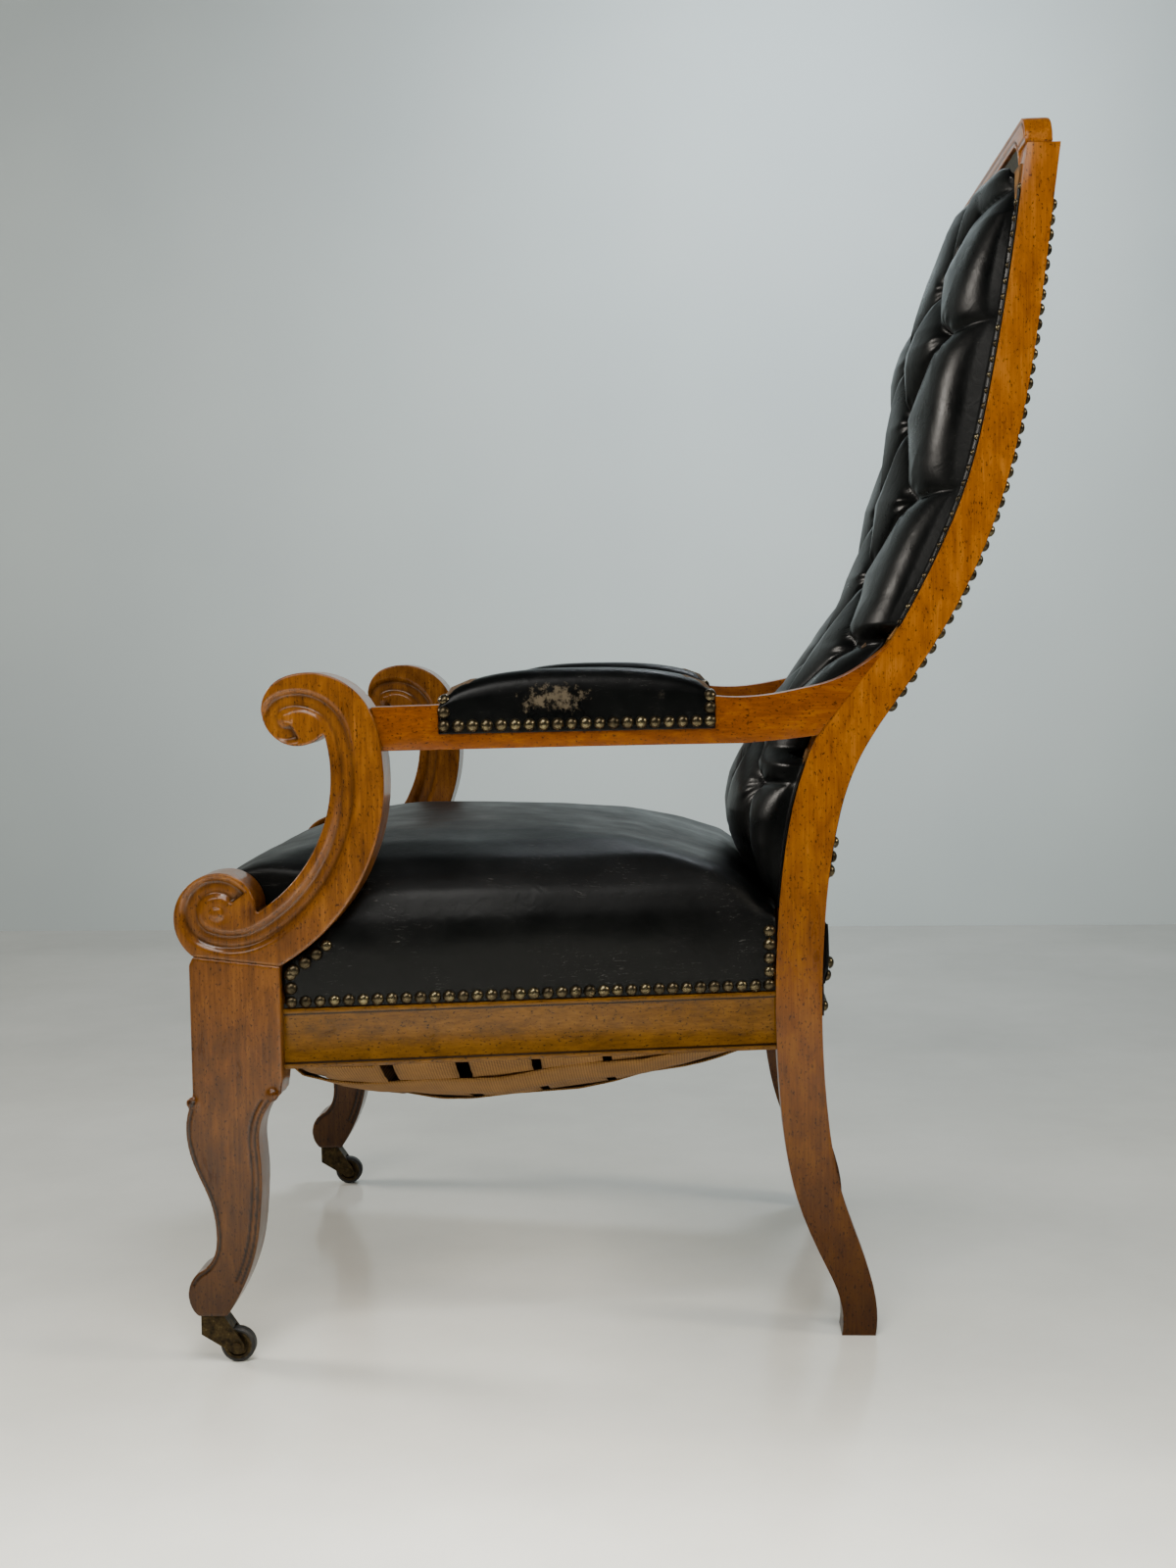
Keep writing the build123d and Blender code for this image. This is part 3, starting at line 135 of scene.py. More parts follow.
def reckoned(tree, operation, *values):
    """One sum or other operation on its values."""
    return add(tree, "ShaderNodeMath", dict(enumerate(values)), operation=operation).outputs[0]


def ramp(tree, value, *stops):
    """Colours along a value, from stops of a place and a colour."""
    item = add(tree, "ShaderNodeValToRGB", {"Fac": value})
    points = item.color_ramp.elements
    while len(points) < len(stops):
        points.new(0.5)
    for point, (place, code) in zip(points, stops):
        point.position = place
        point.color = colour(code)
    return item.outputs["Color"]


def dimmed(tree, tone, share):
    """A colour made darker or paler by a share."""
    return add(tree, "ShaderNodeVectorMath", {0: tone, "Scale": share}, operation="SCALE").outputs[0]


def bumped(tree, height, strength, distance, **under):
    """A surface raised by a pattern, by up to a distance in millimetres."""
    return add(tree, "ShaderNodeBump", {
        "Height": height, "Strength": strength, "Distance": distance * mm, **under}).outputs[0]


def polished_beech(name, axis, tones=wood_tones, lines=(), gloss=0.22):
    """Shellac over stained beech: soft figure, short dark flecks, darker towards the bottom, painted shade
    along the given lines and in marked hollows, a worn gloss.
    """
    material, tree, shader, place = finish_named(
        name, Coat_Weight=gloss, Coat_Roughness=0.10, IOR=1.5, Specular_IOR_Level=0.10)
    figure = clouded(tree, stretched(tree, place, figure_size, axis), detail=5.0, rough=0.6, twist=0.5)
    grain = clouded(tree, stretched(tree, place, grain_size, axis), detail=4.0, rough=0.6, twist=0.3)
    flecks = clouded(tree, stretched(tree, place, fleck_size, axis))
    mixed = add(tree, "ShaderNodeMix", {"Factor": grain_share, "A": figure, "B": grain}, data_type="FLOAT")
    tone = ramp(tree, mixed.outputs[0], *zip(wood_tone_places, tones))
    height = add(tree, "ShaderNodeSeparateXYZ", {"Vector": place}).outputs["Z"]
    # Dark flecks, and darker towards the bottom by height.
    flecks_and_painted_shade = reckoned(
        tree, "MULTIPLY", ranged(tree, flecks, 0.30, 0.40, 0.25),
        ranged(tree, height, bottom_dark_low, bottom_dark_high, bottom_darkest))
    # Painted shade: a dark stripe at each given line's height.
    for shade_line in lines:
        far = reckoned(tree, "ABSOLUTE", reckoned(tree, "SUBTRACT", height, shade_line * mm))
        flecks_and_painted_shade = reckoned(tree, "MULTIPLY", flecks_and_painted_shade, ranged(tree, far, 0.5 * mm, 1.3 * mm, 0.12))
    # Painted shade in hollows and cut lines, read from a mark on each corner of the mesh.
    painted_shade = add(tree, "ShaderNodeAttribute", attribute_name="painted_shade").outputs["Fac"]
    flecks_and_painted_shade = reckoned(tree, "MULTIPLY", flecks_and_painted_shade, ranged(tree, painted_shade, 0.0, 1.0, 1.0, 0.16))
    give(tree, shader, Base_Color=dimmed(tree, tone, flecks_and_painted_shade),
         Roughness=ranged(tree, figure, 0.3, 0.7, 0.26, 0.42), Normal=bumped(tree, grain, 0.10, 0.4))
    return material


wood_upright = polished_beech("polished_beech_upright", 2)
wood_level = polished_beech("polished_beech_level", 1, ("#502500", "#783e00", "#985b06"))
# The rails' tones are the posts' made darker as painted shade, for faces that turn a little downwards; the
# rails also carry the painted stripes.
shaded_wood_rail = polished_beech("polished_beech_rail_shaded", 1, ("#482a03", "#7b5007", "#986616"), rail_shade_lines)
wood_cross = polished_beech("polished_beech_cross", 0)
wood_carved = polished_beech("polished_beech_carved", 2, ("#43230a", "#794710", "#9e6320"), gloss=0.45)


def merged_copy(node):
    """The CAD piece's mesh as a bmesh with its corners joined and flat faces made whole."""
    bm = bmesh.new()
    bm.from_mesh(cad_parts[node].data)
    bmesh.ops.remove_doubles(bm, verts=bm.verts, dist=0.004 * mm)
    bmesh.ops.dissolve_limit(
        bm, angle_limit=math.radians(0.5), use_dissolve_boundaries=False, verts=bm.verts, edges=bm.edges)
    return bm


def piece_from(bm, name, material, smooth_angle=None):
    """Makes the finished object of a bmesh, shades it, and lets it ride on the chair."""
    mesh = bpy.data.meshes.new(name)
    bm.to_mesh(mesh)
    bm.free()
    mesh.polygons.foreach_set("use_smooth", [True] * len(mesh.polygons))
    if smooth_angle:
        mesh.set_sharp_from_angle(angle=smooth_angle)
    mesh.materials.append(material)
    piece = bpy.data.objects.new(name, mesh)
    bpy.context.scene.collection.objects.link(piece)
    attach(piece, "chair")
    return piece


def worked(piece, kind, **settings):
    """Changes a piece's mesh by one modifier, which is applied."""
    modifier = piece.modifiers.new(kind.lower(), kind)
    for key, value in settings.items():
        setattr(modifier, key, value)
    graph = bpy.context.evaluated_depsgraph_get()
    mesh = bpy.data.meshes.new_from_object(piece.evaluated_get(graph))
    piece.modifiers.clear()
    piece.data = mesh


def eased_wood(node, name, material, width=wood_edge_round):
    """A wooden piece with its sharp edges taken off."""
    bm = merged_copy(node)
    sharp = [e for e in bm.edges if len(e.link_faces) == 2 and e.calc_face_angle() > wood_sharp_angle]
    bmesh.ops.bevel(
        bm, geom=sharp, offset=width * mm, offset_type="OFFSET", segments=3, profile=0.5, affect="EDGES",
        material=-1, clamp_overlap=True)
    piece = piece_from(bm, name, material, wood_sharp_angle)
    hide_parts(node)


for side in sides:
    eased_wood(f"back_post_{side}", f"polished_post_{side}", wood_upright)
    eased_wood(f"arm_rail_{side}", f"polished_arm_{side}", wood_level)
    eased_wood(f"side_rail_{side}", f"polished_rail_{side}", shaded_wood_rail, rail_edge_round)

# Front legs: beech sawn to a cabriole and rounded with rasp and scraper. A cut line runs inside
# each edge, a second one behind, and the lines start from small carved rolls. Painted shade
# darkens the cut lines.
line_half, line_depth, line_low, line_high = 1.4, 1.2, 76.5, 249.0
leg_lines = ((3.4, False), (8.6, True))
leg_voxel, leg_rubs = 1.3, 3
leg_faces, leg_roll_places = (308.6, 270.9), ((-390.6, 246.2), (-316.4, 253.3))
roll_radius, roll_rise = 5.6, 3.0
rim_step = 0.7
# Painted shade in the cut lines: how fast it reaches full darkness with their depth.
line_painted_shade = 2.2


def mesh_numbers(mesh):
    """A mesh's points and normals, and the corners that its edges join."""
    count = len(mesh.vertices)
    points, normals = np.empty(count * 3), np.empty(count * 3)
    mesh.vertices.foreach_get("co", points)
    mesh.vertex_normals.foreach_get("vector", normals)
    edges = np.empty(len(mesh.edges) * 2, dtype=np.int64)
    mesh.edges.foreach_get("vertices", edges)
    return points.reshape(-1, 3), normals.reshape(-1, 3), edges.reshape(-1, 2).T


def take_shape(mesh, points, painted_shade=None):
    """Moves a mesh's corners to their new places, and marks where painted shade darkens them."""
    mesh.vertices.foreach_set("co", points.ravel())
    if painted_shade is not None:
        mesh.attributes.new("painted_shade", "FLOAT", "POINT").data.foreach_set("value", painted_shade)
    mesh.update()


def rubbed(bm, name, material, voxel, rubs):
    """A piece worked by hand: one skin of even facets, its edges rubbed soft."""
    piece = piece_from(bm, name, material)
    worked(piece, "REMESH", mode="VOXEL", voxel_size=voxel * mm, use_smooth_shade=True)
    worked(piece, "SMOOTH", factor=0.5, iterations=rubs)
    return piece


def outline_of(node, axis):
    """Points along the edges of a piece's broad faces, for finding how far in a point lies."""
    bm = merged_copy(node)
    points = []
    for e in bm.edges:
        flat = [abs(f.normal[axis]) > 0.999 for f in e.link_faces]
        if any(flat) and not all(flat):
            a, b = (v.co for v in e.verts)
            steps = max(int((b - a).length / (rim_step * mm)), 1)
            points += [a.lerp(b, k / steps) for k in range(steps + 1)]
    bm.free()
    tree = KDTree(len(points))
    for k, p in enumerate(points):
        tree.insert(p, k)
    tree.balance()
    return tree


def cut_lines(piece, rim, axis, lines, low, high):
    """Cuts lines into the broad faces: each a distance from the edge, and whether only behind. Marks painted
    shade in the lines.
    """
    points, normals, _ = mesh_numbers(piece.data)
    painted_shade = np.zeros(len(points))
    for k, (p, n) in enumerate(zip(points, normals)):
        if abs(n[axis]) < 0.9 or not low < p[2] / mm < high:
            continue
        near, _, far = rim.find(p)
        if near.z < low * mm:
            continue
        deep = max([0.0] + [
            1 - abs(far / mm - inset) / line_half for inset, behind in lines if not behind or near.y > p[1]])
        points[k] = p - n * line_depth * deep * mm
        # Painted shade in the cut line.
        painted_shade[k] = min(deep * line_painted_shade, 1)
    take_shape(piece.data, points, painted_shade)


def front_leg(side):
    bm = merged_copy(f"front_leg_{side}")
    for x in leg_faces:
        for y, z in leg_roll_places:
            place = Matrix.Translation((sides[side] * x * mm, y * mm, z * mm))
            size = Matrix.Diagonal((roll_rise * mm, roll_radius * mm, roll_radius * mm, 1))
            bmesh.ops.create_uvsphere(bm, u_segments=20, v_segments=12, radius=1, matrix=place @ size)
    piece = rubbed(bm, f"polished_leg_{side}", wood_carved, leg_voxel, leg_rubs)
    cut_lines(piece, outline_of(f"front_leg_{side}", 0), 0, leg_lines, line_low, line_high)
    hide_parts(f"front_leg_{side}")


for side in sides:
    front_leg(side)

# Crest: a wide beech arch between the posts with a low arched opening, a line cut round both
# and darkened with painted shade, its edges rubbed soft and polished like the posts.
crest_voxel, crest_rubs = 1.6, 4
crest_line, crest_line_low = 5.0, 1040.0
crest = rubbed(merged_copy("crest_rail"), "polished_crest", wood_cross, crest_voxel, crest_rubs)
cut_lines(crest, outline_of("crest_rail", 1), 1, ((crest_line, False), ), crest_line_low, math.inf)
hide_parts("crest_rail")

# Arm scrolls: carved beech. The coves are cut with gouges and the ridges rubbed down, so every
# edge is soft. Painted shade darkens the hollows of the coves and volutes.
carve_voxel, carve_rubs = 1.2, 2
cove_rounds, cove_pull, cove_share, cove_limit, cove_deepest = 50, 0.6, 0.8, 6.0, 2.0
cove_side = 0.35
# Painted shade in the hollows: from what depth in millimetres, over what span, and at most how dark.
cove_shade_from, cove_shade_span, cove_shade_most = 0.15, 0.9, 0.85


def relaxed(points, edges, rounds, share):
    """Points drawn towards the middle of their neighbours, each by its share, round by round."""
    a, b = edges
    links = np.maximum(np.bincount(edges.ravel(), minlength=len(points)), 1)[:, None]
    for _ in range(rounds):
        total = np.stack([
            np.bincount(a, points[b, k], len(points)) + np.bincount(b, points[a, k], len(points))
            for k in range(3)], axis=1)
        points = points + share * (total / links - points)
    return points


def arm_scroll(side):
    piece = rubbed(
        merged_copy(f"arm_scroll_{side}"), f"carved_scroll_{side}", wood_carved, carve_voxel, carve_rubs)
    points, normals, edges = mesh_numbers(piece.data)
    hollow = ((relaxed(points, edges, cove_rounds, cove_pull) - points) * normals).sum(axis=1) / mm
    inside = np.clip(1 - np.abs(hollow) / cove_limit, 0, 1) * (np.abs(normals[:, 0]) > cove_side)
    deeper = np.clip(hollow, 0, cove_deepest) * inside * cove_share * mm
    # Painted shade, darker the deeper the hollow.
    painted_shade = np.clip((hollow - cove_shade_from) / cove_shade_span, 0, cove_shade_most)
    take_shape(piece.data, points - normals * deeper[:, None], painted_shade)
    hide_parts(f"arm_scroll_{side}")


for side in sides:
    arm_scroll(side)

# Hidden frame: front, rear and bottom rails, corner blocks and dowels of sawn beech, left bare
# and rough under the upholstery.
bare_beech, tree, shader, place = finish_named("sawn_beech_bare", Roughness=0.75)
rings = clouded(tree, stretched(tree, place, (3.0, 40.0), 0), detail=4.0)
give(tree, shader, Base_Color=ramp(tree, rings, (0.3, "#7a5a34"), (0.7, "#b08d5c")),
     Normal=bumped(tree, rings, 0.3, 0.5))


def dress(material, *nodes):
    """Gives CAD pieces that keep their shape their finish."""
    for node in nodes:
        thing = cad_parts[node]
        for slot in thing.material_slots:
            slot.material = material
        if not thing.material_slots:
            thing.data.materials.append(material)


dress(bare_beech, "front_rail", "rear_rail", "back_bottom_rail", "corner_blocks", "rail_dowels",
      "arm_dowels", "crest_dowels")

# Leather: black-dyed hide, dressed with wax and worn to a soft gloss. It is fine-grained, cooler
# in the highlights, scuffed on the seat and rubbed through to tan on the near arm.
leather_black, leather_grey, scuff_grey = "#030404", "#0a0b0b", "#6b6a66"
leather_grain, leather_cloud, leather_crease = 0.9, 60.0, 14.0
scuff_size, scuff_turn = (1.6, 30.0), (0.5, 0.3, 0.6)
wear_grain, wear_raggedness = 9.0, 1.9


def overlaid(tree, base, tone, share):
    """A colour with another laid over it by a share."""
    mixed = add(tree, "ShaderNodeMix", {"Factor": share, 6: base, 7: colour(tone)}, data_type="RGBA")
    return mixed.outputs[2]


def waxed_hide(name, wear=(), scuffs=0.35, shine=0.16, rough=(0.24, 0.38)):
    """Waxed hide, with scuffs along one way and bare patches as centre, reach and colour."""
    material, tree, shader, place = finish_named(name, IOR=1.45, Specular_IOR_Level=shine)
    clouds = clouded(tree, place, leather_cloud, 5.0, 0.6)
    base = ramp(tree, clouds, (0.35, leather_black), (0.75, leather_grey))
    scratch = clouded(
        tree, stretched(tree, place, scuff_size, 1, scuff_turn), detail=3.0, rough=0.7, twist=1.2)
    marks = reckoned(
        tree, "MULTIPLY", ranged(tree, scratch, 0.60, 0.78, 0.0, scuffs), ranged(tree, clouds, 0.50, 0.62))
    base = overlaid(tree, base, scuff_grey, marks)
    for centre, reach, code in wear:
        spot = add(tree, "ShaderNodeMapping", {
            "Vector": place, "Location": [-c / r for c, r in zip(centre, reach)],
            "Scale": [1 / (r * mm) for r in reach]})
        far = add(tree, "ShaderNodeVectorMath", {0: spot.outputs[0]}, operation="LENGTH").outputs["Value"]
        ragged = reckoned(tree, "MULTIPLY", clouded(tree, place, wear_grain, 7.0, 0.72), wear_raggedness)
        edge = reckoned(tree, "SUBTRACT", ragged, far)
        base = overlaid(tree, base, code, ranged(tree, edge, 0.18, 0.42, 0.0, 0.8))
    pebble = add(tree, "ShaderNodeTexVoronoi", {"Vector": place, "Scale": 1 / (leather_grain * mm)})
    grain = bumped(tree, pebble.outputs["Distance"], 0.10, 0.25)
    creases = bumped(tree, clouded(tree, place, leather_crease, 5.0, 0.55, 0.8), 0.22, 1.6, Normal=grain)
    give(tree, shader, Base_Color=base, Roughness=ranged(tree, clouds, 0.3, 0.7, *rough), Normal=creases)
    return material


hide_seat = waxed_hide("waxed_hide_seat", scuffs=0.7, shine=0.16, rough=(0.33, 0.48))
hide_back = waxed_hide("waxed_hide_back", scuffs=0.2, shine=0.13, rough=(0.24, 0.40))
hide_pad = {
    "left": waxed_hide("waxed_hide_pad_left", scuffs=0.6, wear=(
        ((296, -54, 609), (60, 52, 21), "#625848"), ((296, 40, 612), (60, 30, 15), "#403c33"))),
    "right": waxed_hide("waxed_hide_pad_right", scuffs=0.3)}

# Back pad: hide over hair and a canvas laid on the posts, drawn in by covered buttons tied
# through the back. Folds run from button to button, and from the outer buttons to the edge.
back_low, back_high = 409.0, 1103.0
back_half_width, back_between_arms, back_flange_width = 205.0, 182.0, 215.5
back_top_taper = 14.0
back_crown = 72.0
back_crown_shares = (
    (0.371, 0.05), (0.379, 0.22), (0.390, 0.40), (0.410, 0.60), (0.4225, 0.70), (0.445, 0.79), (0.470, 0.82),
    (0.500, 0.78), (0.555, 0.81), (0.600, 0.82), (0.635, 0.78), (0.680, 0.85), (0.720, 0.93), (0.785, 0.95),
    (0.840, 0.99), (0.870, 0.94), (0.887, 0.87), (0.920, 0.73), (0.942, 0.64), (0.970, 0.53), (0.985, 0.44),
    (0.992, 0.34), (0.997, 0.22), (1.000, 0.03))
back_fall_share, back_fall_power = 0.52, 2.2
outer_rows = (520.0, 650.0, 790.0, 944.0)
inner_rows = (585.0, 722.0, 872.0, 1003.0)
button_pitch, fold_edge_x, fold_foot_z, fold_tallest = 135.0, 225.0, 400.0, 90.0
fold_reach, fold_depth, fold_full_crown = 62.0, 18.0, 45.0
button_dip, button_reach = 9.0, 12.0
pucker_count, pucker_rise, pucker_ring, pucker_reach = 9, 0.9, 15.0, 9.0
top_drop, top_drop_from = 14.0, 1040.0
edge_roll, back_least = 48.0, 1.5
back_columns, back_rows = 190, 320
back_hide_thick = 1.4


def tree_of(*nodes):
    """A ray-casting tree over the meshes of CAD pieces or finished pieces."""
    points, faces = [], []
    for item in nodes:
        mesh = (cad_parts[item] if isinstance(item, str) else item).data
        start = len(points)
        points += [v.co.copy() for v in mesh.vertices]
        faces += [[start + i for i in p.vertices] for p in mesh.polygons]
    return BVHTree.FromPolygons(points, faces)


def cast(rays, origin, direction):
    """First hit of a ray, given in millimetres, as a point and a normal in metres."""
    point, normal, _, _ = rays.ray_cast(Vector(origin) * mm, Vector(direction))
    return point, normal


post_rays = tree_of("back_post_left")
post_probe_x = 215.0
post_heights = np.arange(300.0, 1102.0, 4.0)
post_front, post_rear = (
    [cast(post_rays, (post_probe_x, -900 * way, z), (0, way, 0))[0].y / mm for z in post_heights]
    for way in (1, -1))


def back_line(z):
    return np.interp(z, post_heights, post_front)


def back_width(z):
    """Half width of the pad: narrower between the arms and under the crest."""
    return np.interp(z, (542, 556, 658, 672, 1046, 1076, back_high), (
        back_half_width, back_between_arms, back_between_arms, back_half_width, back_half_width,
        back_between_arms, back_between_arms - back_top_taper))


def flange_width(z):
    return np.interp(z, (542, 552, 662, 672, 1080, 1092, back_high), (
        back_flange_width, back_between_arms, back_between_arms, back_flange_width, back_flange_width,
        back_between_arms, back_between_arms - back_top_taper))


def back_folds():
    """The buttons, and the folds as straight stretches between points (x, z) of the pad."""
    outer = [(x, z) for z in outer_rows for x in (-button_pitch, 0, button_pitch)]
    inner = [(x, z) for z in inner_rows for x in (-button_pitch / 2, button_pitch / 2)]
    folds = [(a, b) for a in outer for b in inner
             if abs(abs(a[0] - b[0]) - button_pitch / 2) < 1 and abs(a[1] - b[1]) < fold_tallest]
    for s in (-1, 1):
        for z in outer_rows:
            folds.append(((s * button_pitch, z), (s * fold_edge_x, z + 7)))
        folds.append(((s * button_pitch, outer_rows[0]), (s * button_pitch * 1.03, fold_foot_z)))
        top = [(s * x, z) for x, z in (
            (button_pitch / 2, inner_rows[-1]), (82, 1036), (118, 1061), (fold_edge_x, 1074))]
        folds += list(zip(top, top[1:]))
        folds.append((top[0], (s * 40, 1112)))
    folds.append(((0, outer_rows[0]), (0, fold_foot_z)))
    return outer + inner, folds


def segment_distance(x, z, a, b):
    """Distance of points from a straight stretch."""
    ax, az, bx, bz = *a, *b
    length = (bx - ax) ** 2 + (bz - az) ** 2
    t = np.clip(((x - ax) * (bx - ax) + (z - az) * (bz - az)) / length, 0, 1)
    return np.hypot(x - ax - t * (bx - ax), z - az - t * (bz - az))


def back_relief(x, z):
    """How far the pad stands proud of the posts at points (x, z)."""
    buttons, folds = back_folds()
    half = back_width(z)
    crown = back_crown * np.interp(z / back_high, *zip(*back_crown_shares))
    high = crown * (1 - back_fall_share * (np.abs(x) / half) ** back_fall_power)
    fold = np.full(x.shape, 1e3)
    for a, b in folds:
        fold = np.minimum(fold, segment_distance(x, z, a, b))
    near = np.full(x.shape, 1e3)
    angle = np.zeros(x.shape)
    for bx, bz in buttons:
        d = np.hypot(x - bx, z - bz)
        angle = np.where(d < near, np.arctan2(z - bz, x - bx), angle)
        near = np.minimum(near, d)
    t = np.clip(fold / fold_reach, 0, 1)
    high = high - fold_depth * np.clip(crown / fold_full_crown, 0, 1) * (1 - np.sqrt(1 - (1 - t) ** 2))
    high = high - button_dip * np.exp(-(near / button_reach) ** 2)
    ring = np.exp(-((near - pucker_ring) / pucker_reach) ** 2)
    high = high + pucker_rise * np.sin(angle * pucker_count) * ring
    roll = np.clip((np.abs(x) - half + edge_roll) / edge_roll, 0, 1)
    high = high * (1 - roll ** 3) ** (1 / 2.2)
    return np.where(np.abs(x) >= half, back_least, np.maximum(high, back_least))


def back_pad():
    bm = bmesh.new()
    bmesh.ops.create_grid(bm, x_segments=back_columns, y_segments=back_rows, size=1.0)
    u, w = (np.array([v.co[k] for v in bm.verts]) for k in (0, 1))
    z = back_low + (back_high - back_low) * (w + 1) / 2
    x = u * (flange_width(z) + 0.5)
    near_top = np.clip((z - top_drop_from) / (back_high - top_drop_from), 0, 1)
    z = z - top_drop * near_top * (np.abs(x) / back_between_arms) ** 4
    y = back_line(z) - back_relief(x, z)
    for v, px, py, pz in zip(bm.verts, x, y, z):
        v.co = (px * mm, py * mm, pz * mm)
    piece = piece_from(bm, "tufted_back", hide_back)
    worked(piece, "SOLIDIFY", thickness=back_hide_thick * mm, offset=-1)
    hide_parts("back_cover")
    return piece


tufted_back = back_pad()

# Buttons: wooden moulds covered with the same hide, pulled tight into each dip by twine that is
# tied behind the canvas.
button_radius, button_rise, button_sink, button_probe = 7.6, 3.6, 0.6, 6.0


def back_buttons():
    bm = bmesh.new()
    for x, z in back_folds()[0]:
        near = np.array([(x, z - button_probe), (x, z + button_probe), (x - button_probe, z),
                         (x + button_probe, z), (x, z)])
        y = back_line(near[:, 1]) - back_relief(near[:, 0], near[:, 1])
        normal = Vector((y[3] - y[2], -2 * button_probe, y[1] - y[0])).normalized()
        place = Matrix.Translation((x * mm, (y[4] - button_sink) * mm, z * mm))
        turn = normal.to_track_quat("Z", "Y").to_matrix().to_4x4()
        size = Matrix.Diagonal((button_radius * mm, button_radius * mm, button_rise * mm, 1))
        bmesh.ops.create_uvsphere(bm, u_segments=20, v_segments=12, radius=1, matrix=place @ turn @ size)
    piece = piece_from(bm, "covered_buttons", hide_back)
    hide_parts("back_buttons")


back_buttons()

# Seat: hide strained over hair and springs. It domes up between the scrolls, rolls over the
# front rail, and is held to the rails by a close row of nails.
seat_low, seat_high, seat_front, seat_rear = 331.0, 486.0, -402.0, 196.0
seat_core_z, seat_core_front, seat_core_rear = 352.0, -330.0, 140.0
filling_low, filling_inset, filling_clear, filling_cuts = 343.0, 9.0, 10.0, 30
filling_foot_inset, filling_no_rail = 14.0, 190.0
landing_low, landing_high, landing_inset = 326.0, 346.0, 1.2
landing_block_inset, landing_post_inset, landing_step = 1.5, 1.0, 2.0
seat_voxel, seat_rubs = 3.4, 10
seat_swell, seat_ripple, strained_edge = 1.9, 0.5, 16.0
swell_size, ripple_size, ripple_shift = (0.095, 0.12, 0.09), (0.026, 0.06, 0.034), 7
rail_line_front, rail_line_rear = (-307.0, 296.5), (143.0, 217.5)
scroll_centre, scroll_radius, scroll_inner_x = (-400.0, 538.0), 191.0, 264.0
block_x, block_y, block_top = 270.5, -306.5, 381.0
post_inner_x, wood_reach = 184.0, 2.0


def seat_half(y):
    """Half width of the seat: the side rails stand closer behind."""
    slope = (rail_line_rear[1] - rail_line_front[1]) / (rail_line_rear[0] - rail_line_front[0])
    return rail_line_front[1] + slope * (y - rail_line_front[0])


def clear_of_wood(x, y, z):
    """How far the hide is from a scroll, a leg's block or a post, in millimetres."""
    x = abs(x)
    far = [1e3]
    if x > scroll_inner_x - wood_reach:
        far.append(abs(math.hypot(y - scroll_centre[0], z - scroll_centre[1]) - scroll_radius))
    if x > block_x - wood_reach and z < block_top:
        far.append(abs(y - block_y))
    if x > post_inner_x - wood_reach:
        far.append(abs(float(back_line(z)) - y))
    if y > back_line(z):
        far.append(abs(x - post_inner_x))
    return min(far)


def fine_block(cuts):
    bm = bmesh.new()
    bmesh.ops.create_cube(bm, size=2)
    bmesh.ops.subdivide_edges(bm, edges=bm.edges, cuts=cuts, use_grid_fill=True)
    return bm


def seat_filling(rays):
    """Springs and hair as one body under the hide, so that the form can be taken as solid."""
    bm = fine_block(filling_cuts)
    for v in bm.verts:
        a, b, c = v.co
        y = seat_front + (seat_rear - seat_front) * (b + 1) / 2
        core = Vector((0, min(max(y, seat_core_front), seat_core_rear), seat_core_z))
        if c < -0.99:
            side = cast(rays, (600, y, seat_core_z), (-1, 0, 0))[0]
            half = (side.x / mm if side else filling_no_rail) - filling_inset
            foot_y = min(max(y, seat_front + filling_foot_inset), seat_rear - filling_foot_inset)
            spot = Vector((a * half, foot_y, filling_low))
        else:
            height = filling_low + 2 + (seat_high - filling_low - 2) * (c + 1) / 2
            ahead = (Vector((a * seat_half(y), y, height)) - core).normalized()
            hit = cast(rays, core + ahead * 800, -ahead)[0]
            spot = core if hit is None else hit / mm - ahead * filling_inset
        s, x = math.copysign(1, spot.x), abs(spot.x)
        if math.hypot(spot.y - scroll_centre[0], spot.z - scroll_centre[1]) < scroll_radius + filling_inset:
            x = min(x, scroll_inner_x - filling_inset)
        if spot.y < block_y + filling_clear and spot.z < block_top + filling_clear:
            x = min(x, block_x - filling_clear)
        if spot.y > back_line(spot.z) - filling_clear:
            x = min(x, post_inner_x - filling_inset)
        v.co = Vector((s * x, spot.y, spot.z)) * mm
    return bm


def seat_landing(rays):
    """The foot of the seat on its rails, notched round the legs' blocks and the posts."""
    bm = bmesh.new()
    rings = []
    for z in (landing_low, landing_high):
        probe = max(z, seat_low + 1)
        front = cast(rays, (0, -900, probe), (0, 1, 0))[0].y / mm + landing_inset
        rear = cast(rays, (0, 900, probe), (0, -1, 0))[0].y / mm - landing_inset
        ahead_y, behind_y = block_y + 1, float(back_line(z)) - landing_block_inset
        widths = [
            cast(rays, (600, y, probe), (-1, 0, 0))[0].x / mm - landing_inset
            for y in (ahead_y + landing_step, behind_y - landing_step)]
        inside_block, inside_post = block_x - landing_block_inset, post_inner_x - landing_post_inset
        half = [(inside_block, front), (inside_block, ahead_y), (widths[0], ahead_y), (widths[1], behind_y),
                (inside_post, behind_y), (inside_post, rear)]
        plan = half + [(-x, y) for x, y in reversed(half)]
        rings.append([bm.verts.new(Vector((x, y, z)) * mm) for x, y in plan])
    low, high = rings
    bm.faces.new(reversed(low))
    bm.faces.new(high)
    for k in range(len(low)):
        n = (k + 1) % len(low)
        bm.faces.new((low[k], low[n], high[n], high[k]))
    bmesh.ops.recalc_face_normals(bm, faces=bm.faces)
    return bm


